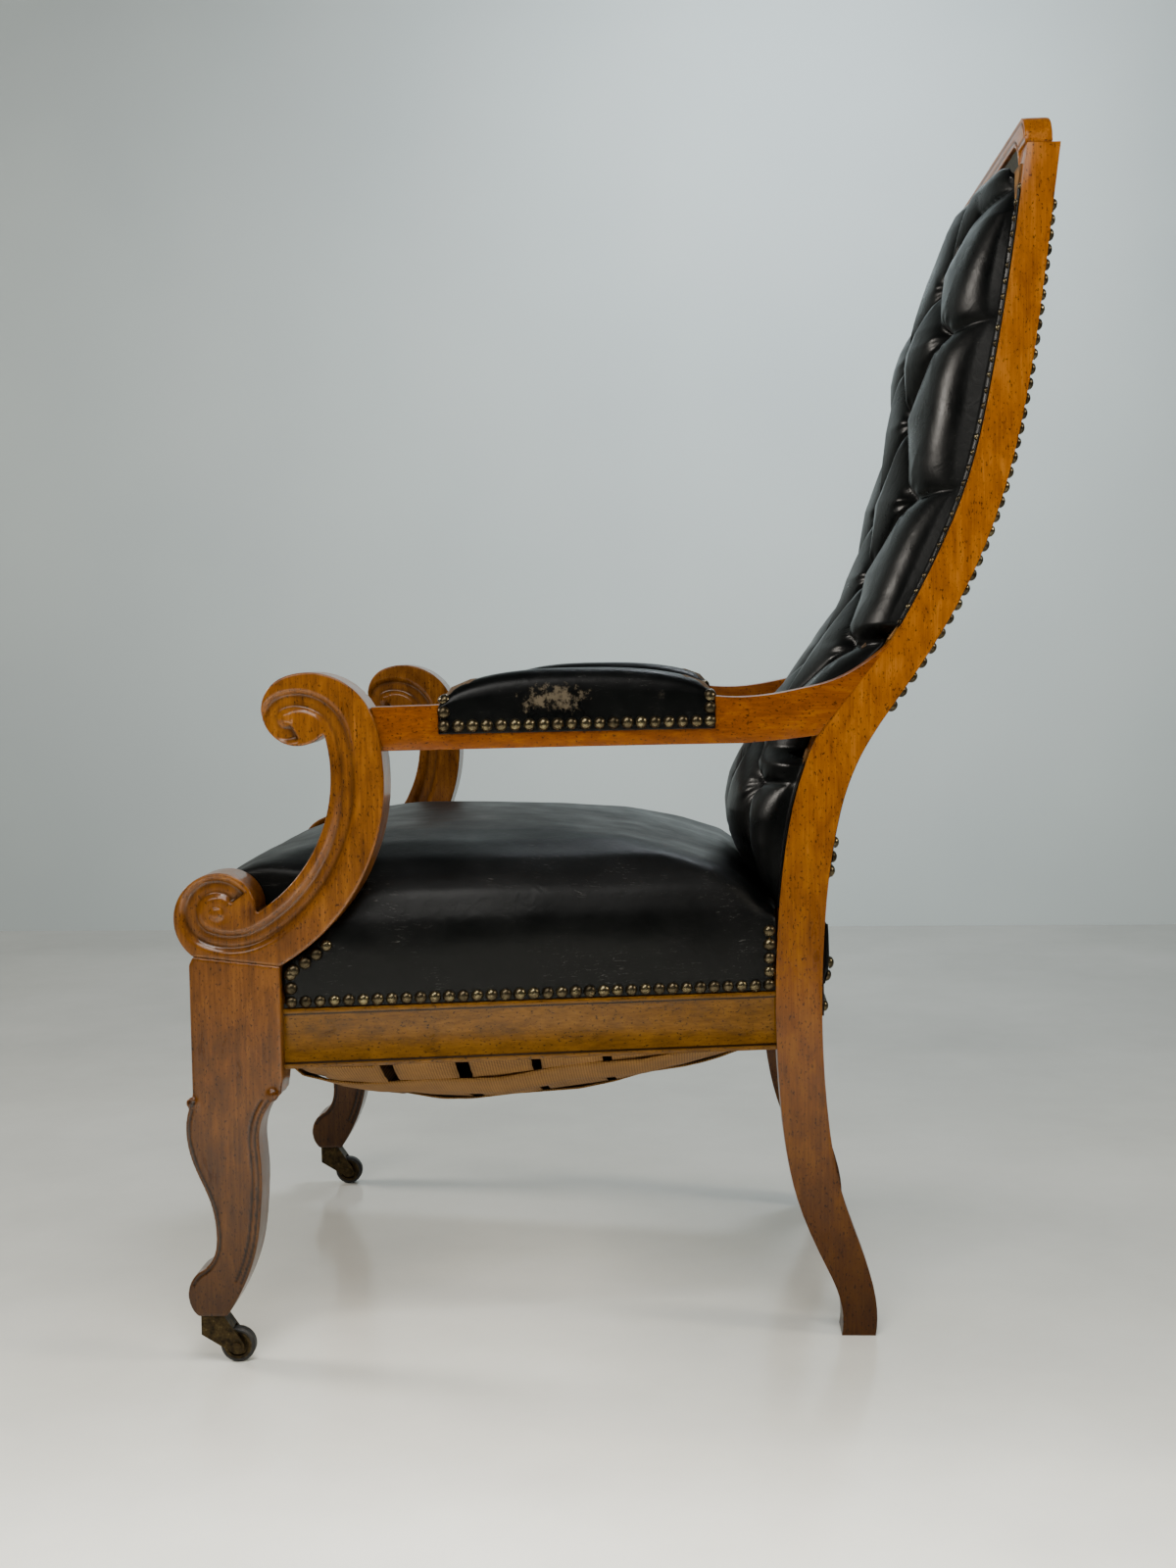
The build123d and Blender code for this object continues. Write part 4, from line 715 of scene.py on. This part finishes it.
def largest_part(bm):
    """Deletes every loose part of a mesh but the one with the most corners."""
    unseen, parts = set(bm.verts), []
    while unseen:
        stack, part = [unseen.pop()], []
        while stack:
            v = stack.pop()
            part.append(v)
            for e in v.link_edges:
                other = e.other_vert(v)
                if other in unseen:
                    unseen.remove(other)
                    stack.append(other)
        parts.append(part)
    parts.sort(key=len)
    bmesh.ops.delete(bm, geom=[v for part in parts[:-1] for v in part], context="VERTS")


def cut_level(bm, height, away):
    """Cuts a closed mesh level at a height, drops what lies above (1) or below (-1), and closes it."""
    whole = list(bm.verts) + list(bm.edges) + list(bm.faces)
    bmesh.ops.bisect_plane(
        bm, geom=whole, plane_co=(0, 0, height * mm), plane_no=(0, 0, away), clear_outer=True)
    bmesh.ops.holes_fill(bm, edges=[e for e in bm.edges if e.is_boundary], sides=0)


def waves(point, size, shift=0):
    x, y, z = (c / s for c, s in zip(point, size))
    return noise.noise(Vector((x + shift, y, z)))


def seat_pad():
    rays = tree_of("seat_cover", "seat_stuffing")
    bm = merged_copy("seat_cover")
    for part in (merged_copy("seat_stuffing"), seat_filling(rays), seat_landing(rays)):
        spare = bpy.data.meshes.new("spare")
        part.to_mesh(spare)
        part.free()
        bm.from_mesh(spare)
    piece = piece_from(bm, "seat_hide", hide_seat)
    worked(piece, "REMESH", mode="VOXEL", voxel_size=seat_voxel * mm, use_smooth_shade=True)
    bm = bmesh.new()
    bm.from_mesh(piece.data)
    cut_level(bm, seat_low, -1)
    largest_part(bm)
    bm.to_mesh(piece.data)
    bm.free()
    points, normals, edges = mesh_numbers(piece.data)
    free = np.array([min(clear_of_wood(*(p / mm)), (p[2] / mm - seat_low) * 2) for p in points])
    free = np.clip(free / strained_edge, 0, 1)[:, None]
    points = relaxed(points, edges, seat_rubs, 0.5 * np.minimum(free * 4, 1))
    lift = np.array([
        seat_swell * waves(p, swell_size) + seat_ripple * waves(p, ripple_size, ripple_shift)
        for p in points])
    take_shape(piece.data, points + normals * (lift[:, None] * free * mm))
    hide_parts("seat_cover", "seat_stuffing")
    return piece


def seat_skirts():
    """The hide's lower edges, drawn down over the front and rear rails and nailed."""
    bm = merged_copy("seat_cover")
    cut_level(bm, seat_low + 4, 1)
    piece = piece_from(bm, "seat_skirts", hide_seat, wood_sharp_angle)
    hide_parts("seat_cover")
    return piece


seat_hide = seat_pad()
seat_skirt = seat_skirts()

# Arm pads: hide over a strip of hair on top of each arm, drawn down both sides and nailed, with
# small puckers between the nails.
pad_front, pad_rear, pad_low, pad_top = -162.0, 88.0, 578.0, 634.0
pad_over, pad_cuts, pad_pucker = 2.6, 26, 0.5
nail_pitch = 12.9


def arm_pad(side):
    s = sides[side]
    rays = tree_of(f"arm_rail_{side}")
    rows = np.linspace(pad_front - 5, pad_rear + 5, 12)
    outer = [cast(rays, (s * 500, y, 588), (-s, 0, 0))[0].x / mm for y in rows]
    inner = [cast(rays, (0, y, 588), (s, 0, 0))[0].x / mm for y in rows]
    top = [cast(rays, ((a + b) / 2, y, 900), (0, 0, -1))[0].z / mm for a, b, y in zip(outer, inner, rows)]
    bm = fine_block(pad_cuts)
    for v in bm.verts:
        a, b, c = v.co
        y = pad_front + (pad_rear - pad_front) * (b + 1) / 2
        out_x, in_x = np.interp(y, rows, outer), np.interp(y, rows, inner)
        deck = np.interp(y, rows, top)
        centre, half = (out_x + in_x) / 2, abs(out_x - in_x) / 2 + pad_over
        length = max(1 - abs(b) ** 2.6, 0) ** 0.55
        crown = (pad_top - deck) * length + 2
        side_z = deck - 4 + crown * 0.45
        lift = (c + 1) / 2
        peak = side_z + (deck + crown - side_z) * max(1 - abs(a) ** 2.3, 0) ** 0.6
        bulge = 1 + 0.035 * math.sin(math.pi * lift) * length
        pucker = pad_pucker * math.sin(y / nail_pitch * 2 * math.pi) * (1 - lift) * abs(a)
        z = pad_low + (peak - pad_low) * lift
        v.co = Vector((centre + a * (half * bulge + pucker), y, z)) * mm
    piece = piece_from(bm, f"arm_pad_hide_{side}", hide_pad[side])
    worked(piece, "SUBSURF", levels=1, render_levels=1)
    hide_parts(f"arm_pad_{side}")
    return piece


arm_pads = {side: arm_pad(side) for side in sides}

# Crest margin: inside the crest's opening the hide's edge lies flat on the wood, undressed, dull
# and dusty.
margin_half, margin_low, margin_high = 184.0, 1060.0, 1112.0
margin_y, margin_thick = 374.5, 1.6
dusty_hide, tree, shader, place = finish_named("dusty_hide_margin", Roughness=0.8)
dust = clouded(tree, place, 1.8, 5.0, 0.7)
give(tree, shader, Base_Color=ramp(tree, dust, (0.35, "#11110b"), (0.55, "#2e2d20"), (0.75, "#5d5a45")))


def crest_margin():
    bm = bmesh.new()
    width, height = 2 * margin_half * mm, (margin_high - margin_low) * mm
    middle = (0, (margin_y + margin_thick / 2) * mm, (margin_low + margin_high) / 2 * mm)
    size = Matrix.Diagonal((width, margin_thick * mm, height, 1))
    bmesh.ops.create_cube(bm, size=1, matrix=Matrix.Translation(middle) @ size)
    piece = piece_from(bm, "crest_margin", dusty_hide, wood_sharp_angle)


crest_margin()

# Outside back: one hide panel strained over the rear of the posts and nailed all round. It spans
# the posts' bend above the seat.
panel_half, panel_low, panel_high, panel_length = 212.0, 436.0, 1056.0, 655.0
panel_thick, panel_span, panel_span_share = 1.3, (456.0, 614.0), 0.25
panel_lift, panel_swell, panel_wave = 0.6, 1.2, 1.0


def outside_back():
    bm = bmesh.new()
    bmesh.ops.create_grid(bm, x_segments=60, y_segments=90, size=1.0)
    for v in bm.verts:
        x, z = v.co.x * panel_half, panel_low + (panel_high - panel_low) * (v.co.y + 1) / 2
        y = float(np.interp(z, post_heights, post_rear))
        inner = (1 - v.co.x ** 6) * (1 - v.co.y ** 10)
        if panel_span[0] < z < panel_span[1]:
            ends = np.interp(panel_span, post_heights, post_rear)
            y += (float(np.interp(z, panel_span, ends)) - y) * panel_span_share * inner
        wave = panel_wave * noise.noise(Vector((x / 80, 3, z / 120)))
        v.co = Vector((x, y + panel_lift + (panel_swell + wave) * inner, z)) * mm
    bmesh.ops.recalc_face_normals(bm, faces=bm.faces)
    piece = piece_from(bm, "outside_back_hide", hide_back)
    worked(piece, "SOLIDIFY", thickness=panel_thick * mm, offset=0)
    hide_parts("outside_back")
    return piece


outside_hide = outside_back()

# Nails: domed brass heads, hand-set in close rows along every edge of the hide, their lacquer
# gone and the metal browned.
nail_radius, nail_rise, back_nail_radius = 5.9, 4.4, 3.4
back_nail_pitch, rear_nail_pitch = 14.2, 13.4
nail_tilt, nail_sink = 0.09, 0.2
nail_smooth_angle = math.radians(75)
seat_row_y, seat_row_z = (-300, 136), 336.5
seat_column_front, seat_column_rear = (349.4, 362.0), (349.4, 362.3, 375.2, 388.0)
seat_corner_x, seat_corner_z = 178, (338.0, 350.5)
scroll_nails_from, scroll_nail_angles = 9.5, (-59.0, -55.4, -51.8, -48.4)
pad_nail_inset, pad_row_z, pad_end_z = 5, 585.4, (597.6, 609.0)
back_nail_x, rear_nail_x, rear_row_half = 210.5, 206.5, 193
rear_nail_top, rear_nail_low = 1050, 442
aged_brass, tree, shader, place = finish_named("aged_brass", Metallic=0.9)
stain = clouded(tree, place, 14, 3.0)
give(tree, shader, Base_Color=ramp(tree, stain, (0.32, "#2a2418"), (0.52, "#4b4231"), (0.72, "#6f6549")),
     Roughness=ranged(tree, stain, 0.3, 0.7, 0.38, 0.22))


def nail_row(bm, places, radius):
    """Sets a domed head at each place, given as a surface point and its normal in metres."""
    for point, normal in places:
        made = bmesh.ops.create_uvsphere(bm, u_segments=12, v_segments=8, radius=1)["verts"]
        under = [v for v in made if v.co.z < -0.01]
        bmesh.ops.delete(bm, geom=under, context="VERTS")
        kept = [v for v in made if v.is_valid]
        rim = [e for e in {e for v in kept for e in v.link_edges} if e.is_boundary]
        bmesh.ops.contextual_create(bm, geom=rim)
        tilt = Vector((random.uniform(-1, 1), random.uniform(-1, 1), random.uniform(-1, 1))) * nail_tilt
        turn = (normal + tilt).normalized().to_track_quat("Z", "Y").to_matrix().to_4x4()
        size = radius * random.uniform(0.95, 1.04) * mm
        matrix = Matrix.Translation(point + normal * nail_sink * mm) @ turn
        matrix = matrix @ Matrix.Diagonal((size, size, nail_rise / nail_radius * size, 1))
        bmesh.ops.transform(bm, matrix=matrix, verts=kept)


def spaced(start, end, pitch=nail_pitch):
    """Evenly spaced values from start to end, about one pitch apart."""
    count = max(round(abs(end - start) / pitch), 1)
    return [start + (end - start) * k / count for k in range(count + 1)]


def rows_hit(rays, origins, direction):
    hits = [cast(rays, origin, direction) for origin in origins]
    return [(point, normal) for point, normal in hits if point]


def nails(name, rows, radius=nail_radius):
    bm = bmesh.new()
    for places in rows:
        nail_row(bm, places, radius)
    piece = piece_from(bm, name, aged_brass, nail_smooth_angle)


random.seed(7)
seat_rays = tree_of(seat_hide)
back_rays = tree_of(tufted_back, "back_post_left", "back_post_right")
panel_rays = tree_of(outside_hide)
skirt_rays = tree_of(seat_skirt)
scroll_reach = scroll_radius + scroll_nails_from
for side, s in sides.items():
    row = [(s * 600, y, seat_row_z) for y in spaced(*seat_row_y)]
    column = [(s * 600, -299.5, z) for z in seat_column_front]
    column += [(s * 600, 136.5, z) for z in seat_column_rear]
    y, z = scroll_centre
    back_corner = [(s * seat_corner_x, 900, z) for z in seat_corner_z]
    around = [(s * 600, y + scroll_reach * math.cos(a), z + scroll_reach * math.sin(a))
              for a in map(math.radians, scroll_nail_angles)]
    outer = rows_hit(seat_rays, row + column + around, (-s, 0, 0))
    nails(f"seat_nails_{side}", [outer, rows_hit(seat_rays, back_corner, (0, -1, 0))])
    pad_rays = tree_of(arm_pads[side])
    ends = (pad_front + pad_nail_inset, pad_rear - pad_nail_inset)
    low = [(y, pad_row_z) for y in spaced(*ends)] + [(y, z) for y in ends for z in pad_end_z]
    outer = rows_hit(pad_rays, [(s * 600, y, z) for y, z in low], (-s, 0, 0))
    inner = rows_hit(pad_rays, [(0, y, z) for y, z in low], (s, 0, 0))
    nails(f"arm_nails_{side}", [outer, inner])
    front = [(s * back_nail_x, -900, z) for z in spaced(1066, 674, back_nail_pitch)]
    nails(f"back_nails_{side}", [rows_hit(back_rays, front, (0, 1, 0))], back_nail_radius)
    heights = spaced(rear_nail_top, 596, rear_nail_pitch) + spaced(469, rear_nail_low, rear_nail_pitch)
    rear = [(s * rear_nail_x, 900, z) for z in heights]
    nails(f"rear_nails_{side}", [rows_hit(panel_rays, rear, (0, -1, 0))])
cross = [(x, 900, z) for z in (rear_nail_top, rear_nail_low)
         for x in spaced(-rear_row_half, rear_row_half, rear_nail_pitch)]
nails("rear_nails_across", [rows_hit(panel_rays, cross, (0, -1, 0))])
nails("front_rail_nails", [rows_hit(skirt_rays, [(x, -900, 290) for x in spaced(-265, 265)], (0, 1, 0))])
nails("rear_rail_nails", [rows_hit(skirt_rays, [(x, 900, 309) for x in spaced(-179, 179)], (0, -1, 0))])

# Webbing: wide jute straps of plain weave, tacked under the rails, passed over and under one
# another and stretched by age. The hessian over the springs and the back's canvas match it.
thread_along, thread_across, soil_size = 1.3, 1.6, 45.0
strap_width, strap_thick, strap_level = 58.0, 1.8, 274.6
cross_strap_places = (-275.0, -258.0, -189.0, -118.0, -51.0, 16.0, 75.0)
long_strap_places = (-165.0, -55.0, 55.0, 165.0)
cross_strap_inset, long_strap_ends = 6.0, (-354, 180)
belly = (
    (-362, 0), (-336, 0), (-326, 24), (-314, 50), (-280, 67), (-243, 77), (-200, 83), (-159, 86), (-118, 84),
    (-77, 78), (-15, 69), (53, 52), (88, 40), (130, 22), (158, 0), (190, 0))
belly_inset = 28.0
weave_lift, weave_from, weave_to, weave_fade = 2.3, -336, 150, 30
second_strap_drop, long_strap_drop = 2.4, 2.2
edge_wander, edge_wave = 0.9, 9.0
jute, tree, shader, place = finish_named("jute_webbing", Roughness=0.92)
along = add(tree, "ShaderNodeTexWave", {
    "Vector": place, "Scale": 1 / (thread_along * mm) / 6.283, "Distortion": 1.5, "Detail": 2.0},
    bands_direction="Y")
across = add(tree, "ShaderNodeTexWave", {
    "Vector": place, "Scale": 1 / (thread_across * mm) / 6.283, "Distortion": 1.0, "Detail": 2.0},
    bands_direction="X")
weave = reckoned(tree, "MULTIPLY", along.outputs["Fac"], across.outputs["Fac"])
soiled = reckoned(tree, "ADD", weave, clouded(tree, place, soil_size, 6.0, 0.65))
give(tree, shader, Base_Color=ramp(tree, soiled, (0.30, "#4a300e"), (0.70, "#6e4a18"), (0.95, "#8a622a")),
     Normal=bumped(tree, weave, 0.5, 0.6))
dress(jute, "seat_hessian", "back_canvas")


def hang(x, y):
    """Height of the belly of the webbing under the seat."""
    half = seat_half(y) - belly_inset
    return strap_level - float(np.interp(y, *zip(*belly))) * max(1 - (x / half) ** 2, 0)


def over_under(y, k):
    """How far a long strap passes above or below the cross straps."""
    side = float(np.interp(y, cross_strap_places[1:], (1, -1, 1, -1, 1, -1)))
    fade = min(max((y - weave_from) / weave_fade, 0), 1) * min(max((weave_to - y) / weave_fade, 0), 1)
    return weave_lift * side * fade * (1 if k in (0, 2) else -1)


def offsets(place, k, kind):
    """The strap's seven threads across its width at a place, its selvedges a little uneven."""
    wander = edge_wander * noise.noise(Vector((place / edge_wave, k * 5, kind)))
    return [t * (strap_width / 2 + wander * abs(t)) for t in np.linspace(-1, 1, 7)]


def strap(name, points):
    """A strap through a grid of points, tacked at both ends."""
    bm = bmesh.new()
    grid = [[bm.verts.new(Vector(p) * mm) for p in row] for row in points]
    for row, after in zip(grid, grid[1:]):
        for k in range(len(row) - 1):
            bm.faces.new((row[k], row[k + 1], after[k + 1], after[k]))
    bmesh.ops.recalc_face_normals(bm, faces=bm.faces)
    piece = piece_from(bm, name, jute)
    worked(piece, "SOLIDIFY", thickness=strap_thick * mm, offset=0)
    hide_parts("seat_webbing")


for k, middle in enumerate(cross_strap_places):
    half = seat_half(middle + strap_width / 2) - cross_strap_inset
    drop = second_strap_drop if k == 1 else 0
    levels = middle + np.linspace(-1, 1, 7) * strap_width / 2
    strap(f"webbing_cross_{k + 1}", [
        [(x, middle + across, hang(x, level) - drop) for across, level in zip(offsets(x, k, 2), levels)]
        for x in np.linspace(-1, 1, 61) * half])
for k, middle in enumerate(long_strap_places):
    levels = middle + np.linspace(-1, 1, 7) * strap_width / 2
    strap(f"webbing_long_{k + 1}", [
        [(middle + across, y, hang(level, y) + over_under(y, k) - long_strap_drop)
         for across, level in zip(offsets(y, k, 9), levels)]
        for y in np.linspace(*long_strap_ends, 90)])

# Stuffing: matted brown curled hair, seen only where a cover is open, lightly dusty and without
# any shine.
hair, tree, shader, place = finish_named("curled_hair", Roughness=0.95)
curls = clouded(tree, place, 2, 5.0, twist=2.0)
give(tree, shader, Base_Color=ramp(tree, curls, (0.3, "#2a1f15"), (0.7, "#6b5640")))
dress(hair, "back_stuffing", "arm_pad_stuffing_left", "arm_pad_stuffing_right")

# Springs and screws: drawn steel wire and turned screws, dull and lightly rusted in patches of
# a few millimetres.
wire, tree, shader, place = finish_named("drawn_steel_wire", Metallic=0.9, Roughness=0.55)
rust = clouded(tree, place, 8, 5.0)
give(tree, shader, Base_Color=ramp(tree, rust, (0.4, "#57524b"), (0.7, "#5d3a22")))
dress(wire, "seat_springs", "caster_screws_left", "caster_screws_right")

# Casters: cast brass plates and horns with turned wheels, browned almost black and pitted, and
# tyres of a hard dark composition.
bronze, tree, shader, place = finish_named("browned_cast_brass", Metallic=0.85)
patina = clouded(tree, place, 6, 6.0, 0.7)
give(tree, shader, Base_Color=ramp(tree, patina, (0.35, "#1c1710"), (0.6, "#453820"), (0.75, "#7a6a44")),
     Roughness=ranged(tree, patina, 0.0, 1.0, 0.65, 0.35), Normal=bumped(tree, patina, 0.3, 0.3))
tyre, tree, shader, place = finish_named("hard_composition_tyre", Roughness=0.6)
dirt = clouded(tree, place, 4, 4.0)
give(tree, shader, Base_Color=ramp(tree, dirt, (0.4, "#0e0d0c"), (0.8, "#2b2823")))
for side in sides:
    dress(bronze, *(f"caster_{name}_{side}" for name in ("plate", "horn", "axle", "wheel")))
    dress(tyre, f"caster_tyre_{side}")

# Studio: a glossy sealed floor with painted light, paler towards the camera, a plain grey painted
# wall behind with a painted pool of light, darker away from its middle, and soft lamps from the
# front left.
# The wall's place, and painted light on it: a bright pool round a point, darkening to a share across its
# reach.
wall_x, wall_light_y, wall_light_z = -2.37, 0.25, 0.50
wall_light_reach, wall_painted_darkest = (0.4, 2.3), 0.60
# Painted light on the floor: darkest far from the camera, palest near it, between two places along x.
floor_shade_x, floor_light_x, floor_painted_darkest, floor_painted_palest = -1.1, 0.75, 0.46, 1.13
stage_half, wall_half_height = 14, 6
floor_finish, tree, shader, place = finish_named("sealed_floor", Roughness=0.16, IOR=1.45)
marks = add(tree, "ShaderNodeTexNoise", {"Vector": place, "Scale": 2.2, "Detail": 6.0, "Roughness": 0.6})
# Painted light: the floor's colour scaled from dark far off to pale near the camera.
floor_painted_light = ranged(
    tree, add(tree, "ShaderNodeSeparateXYZ", {"Vector": place}).outputs["X"], floor_shade_x, floor_light_x,
    floor_painted_darkest, floor_painted_palest)
pale = ramp(tree, marks.outputs["Fac"], (0.3, "#d6d6ce"), (0.7, "#ecece4"))
give(tree, shader, Base_Color=dimmed(tree, pale, floor_painted_light))
wall_finish, tree, shader, place = finish_named("painted_wall", Roughness=0.85)
brush = add(tree, "ShaderNodeTexNoise", {"Vector": place, "Scale": 1.3, "Detail": 3.0})
centre = (wall_x, wall_light_y, wall_light_z)
far = add(tree, "ShaderNodeVectorMath", {0: place, 1: centre}, operation="DISTANCE").outputs["Value"]
grey = ramp(tree, brush.outputs["Fac"], (0.3, "#b8c3c4"), (0.7, "#c1cccb"))
# Painted light: the wall's grey darkens away from the pool's middle.
give(tree, shader, Base_Color=dimmed(tree, grey, ranged(tree, far, *wall_light_reach, 1.0, wall_painted_darkest)))


def stage_plane(name, material, matrix):
    bm = bmesh.new()
    bmesh.ops.create_grid(bm, x_segments=1, y_segments=1, size=1, matrix=matrix)
    mesh = bpy.data.meshes.new(name)
    bm.to_mesh(mesh)
    bm.free()
    mesh.materials.append(material)
    plane = bpy.data.objects.new(name, mesh)
    bpy.context.scene.collection.objects.link(plane)
    plane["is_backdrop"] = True


stage_plane("floor", floor_finish, Matrix.Diagonal((stage_half, stage_half, 1, 1)))
upright = Matrix.Translation((wall_x, 0, wall_half_height)) @ Matrix.Rotation(math.radians(90), 4, "Y")
stage_plane("wall", wall_finish, upright @ Matrix.Diagonal((wall_half_height, stage_half, 1, 1)))


def lamp(name, place, aim, size, power, code, spread=180):
    data = bpy.data.lights.new(name, "AREA")
    data.shape = "SQUARE"
    data.size = size
    data.spread = math.radians(spread)
    data.energy = power
    data.color = colour(code)[:3]
    thing = bpy.data.objects.new(name, data)
    thing.location = place
    thing.rotation_euler = (Vector(aim) - Vector(place)).to_track_quat("-Z", "Y").to_euler()
    bpy.context.scene.collection.objects.link(thing)


lamp("key", (-0.5, -3.2, 2.1), (0, 0, 0.6), 0.8, 95, "#fff8ee")
lamp("fill", (3.2, -1.6, 2.4), (0, 0, 0.5), 1.4, 46, "#fffaf2")
lamp("edge", (0.9, 2.9, 2.0), (0, 0.2, 0.7), 0.6, 45, "#fff4e2")
lamp("overhead", (1.6, -0.1, 2.0), (1.0, -0.1, 0), 1.0, 28, "#fffdf8")
lamp("floor_wash", (1.35, 0, 2.1), (1.35, 0, 0), 0.7, 17, "#fffdf8", 60)
lamp("wall_wash", (-1.2, 0.35, 2.3), (wall_x, 0.35, 0.8), 0.6, 42, "#eef6ff")
world = bpy.data.worlds.new("studio")
world.use_nodes = True
background = world.node_tree.nodes["Background"].inputs
background["Color"].default_value = colour("#d5dadd")
background["Strength"].default_value = 0.11
bpy.context.scene.world = world

# Camera: beside the chair, a little above the seat, its angles fitted to the chair's upright and
# level edges.
focal_pixels, long_side_pixels, sensor = 1925.0, 1600.0, 36.0
camera_place = (1.9756, 0.059, 0.657)
yaw, pitch, roll = math.radians(2.939), math.radians(4.232), math.radians(-0.776)
ahead = Vector((-math.cos(yaw), -math.sin(yaw), 0))
right = Vector((-math.sin(yaw), math.cos(yaw), 0))
up = Vector((0, 0, 1))
look = math.cos(pitch) * ahead - math.sin(pitch) * up
tilted = math.sin(pitch) * ahead + math.cos(pitch) * up
rolled_right = math.cos(roll) * right + math.sin(roll) * tilted
rolled_up = -math.sin(roll) * right + math.cos(roll) * tilted
camera_data = bpy.data.cameras.new("camera")
camera_data.sensor_fit = "AUTO"
camera_data.sensor_width = sensor
camera_data.lens = focal_pixels / long_side_pixels * sensor
camera = bpy.data.objects.new("camera", camera_data)
turn = Matrix((rolled_right, rolled_up, -look)).transposed().to_4x4()
camera.matrix_world = Matrix.Translation(camera_place) @ turn
bpy.context.scene.collection.objects.link(camera)
bpy.context.scene.camera = camera

low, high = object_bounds()
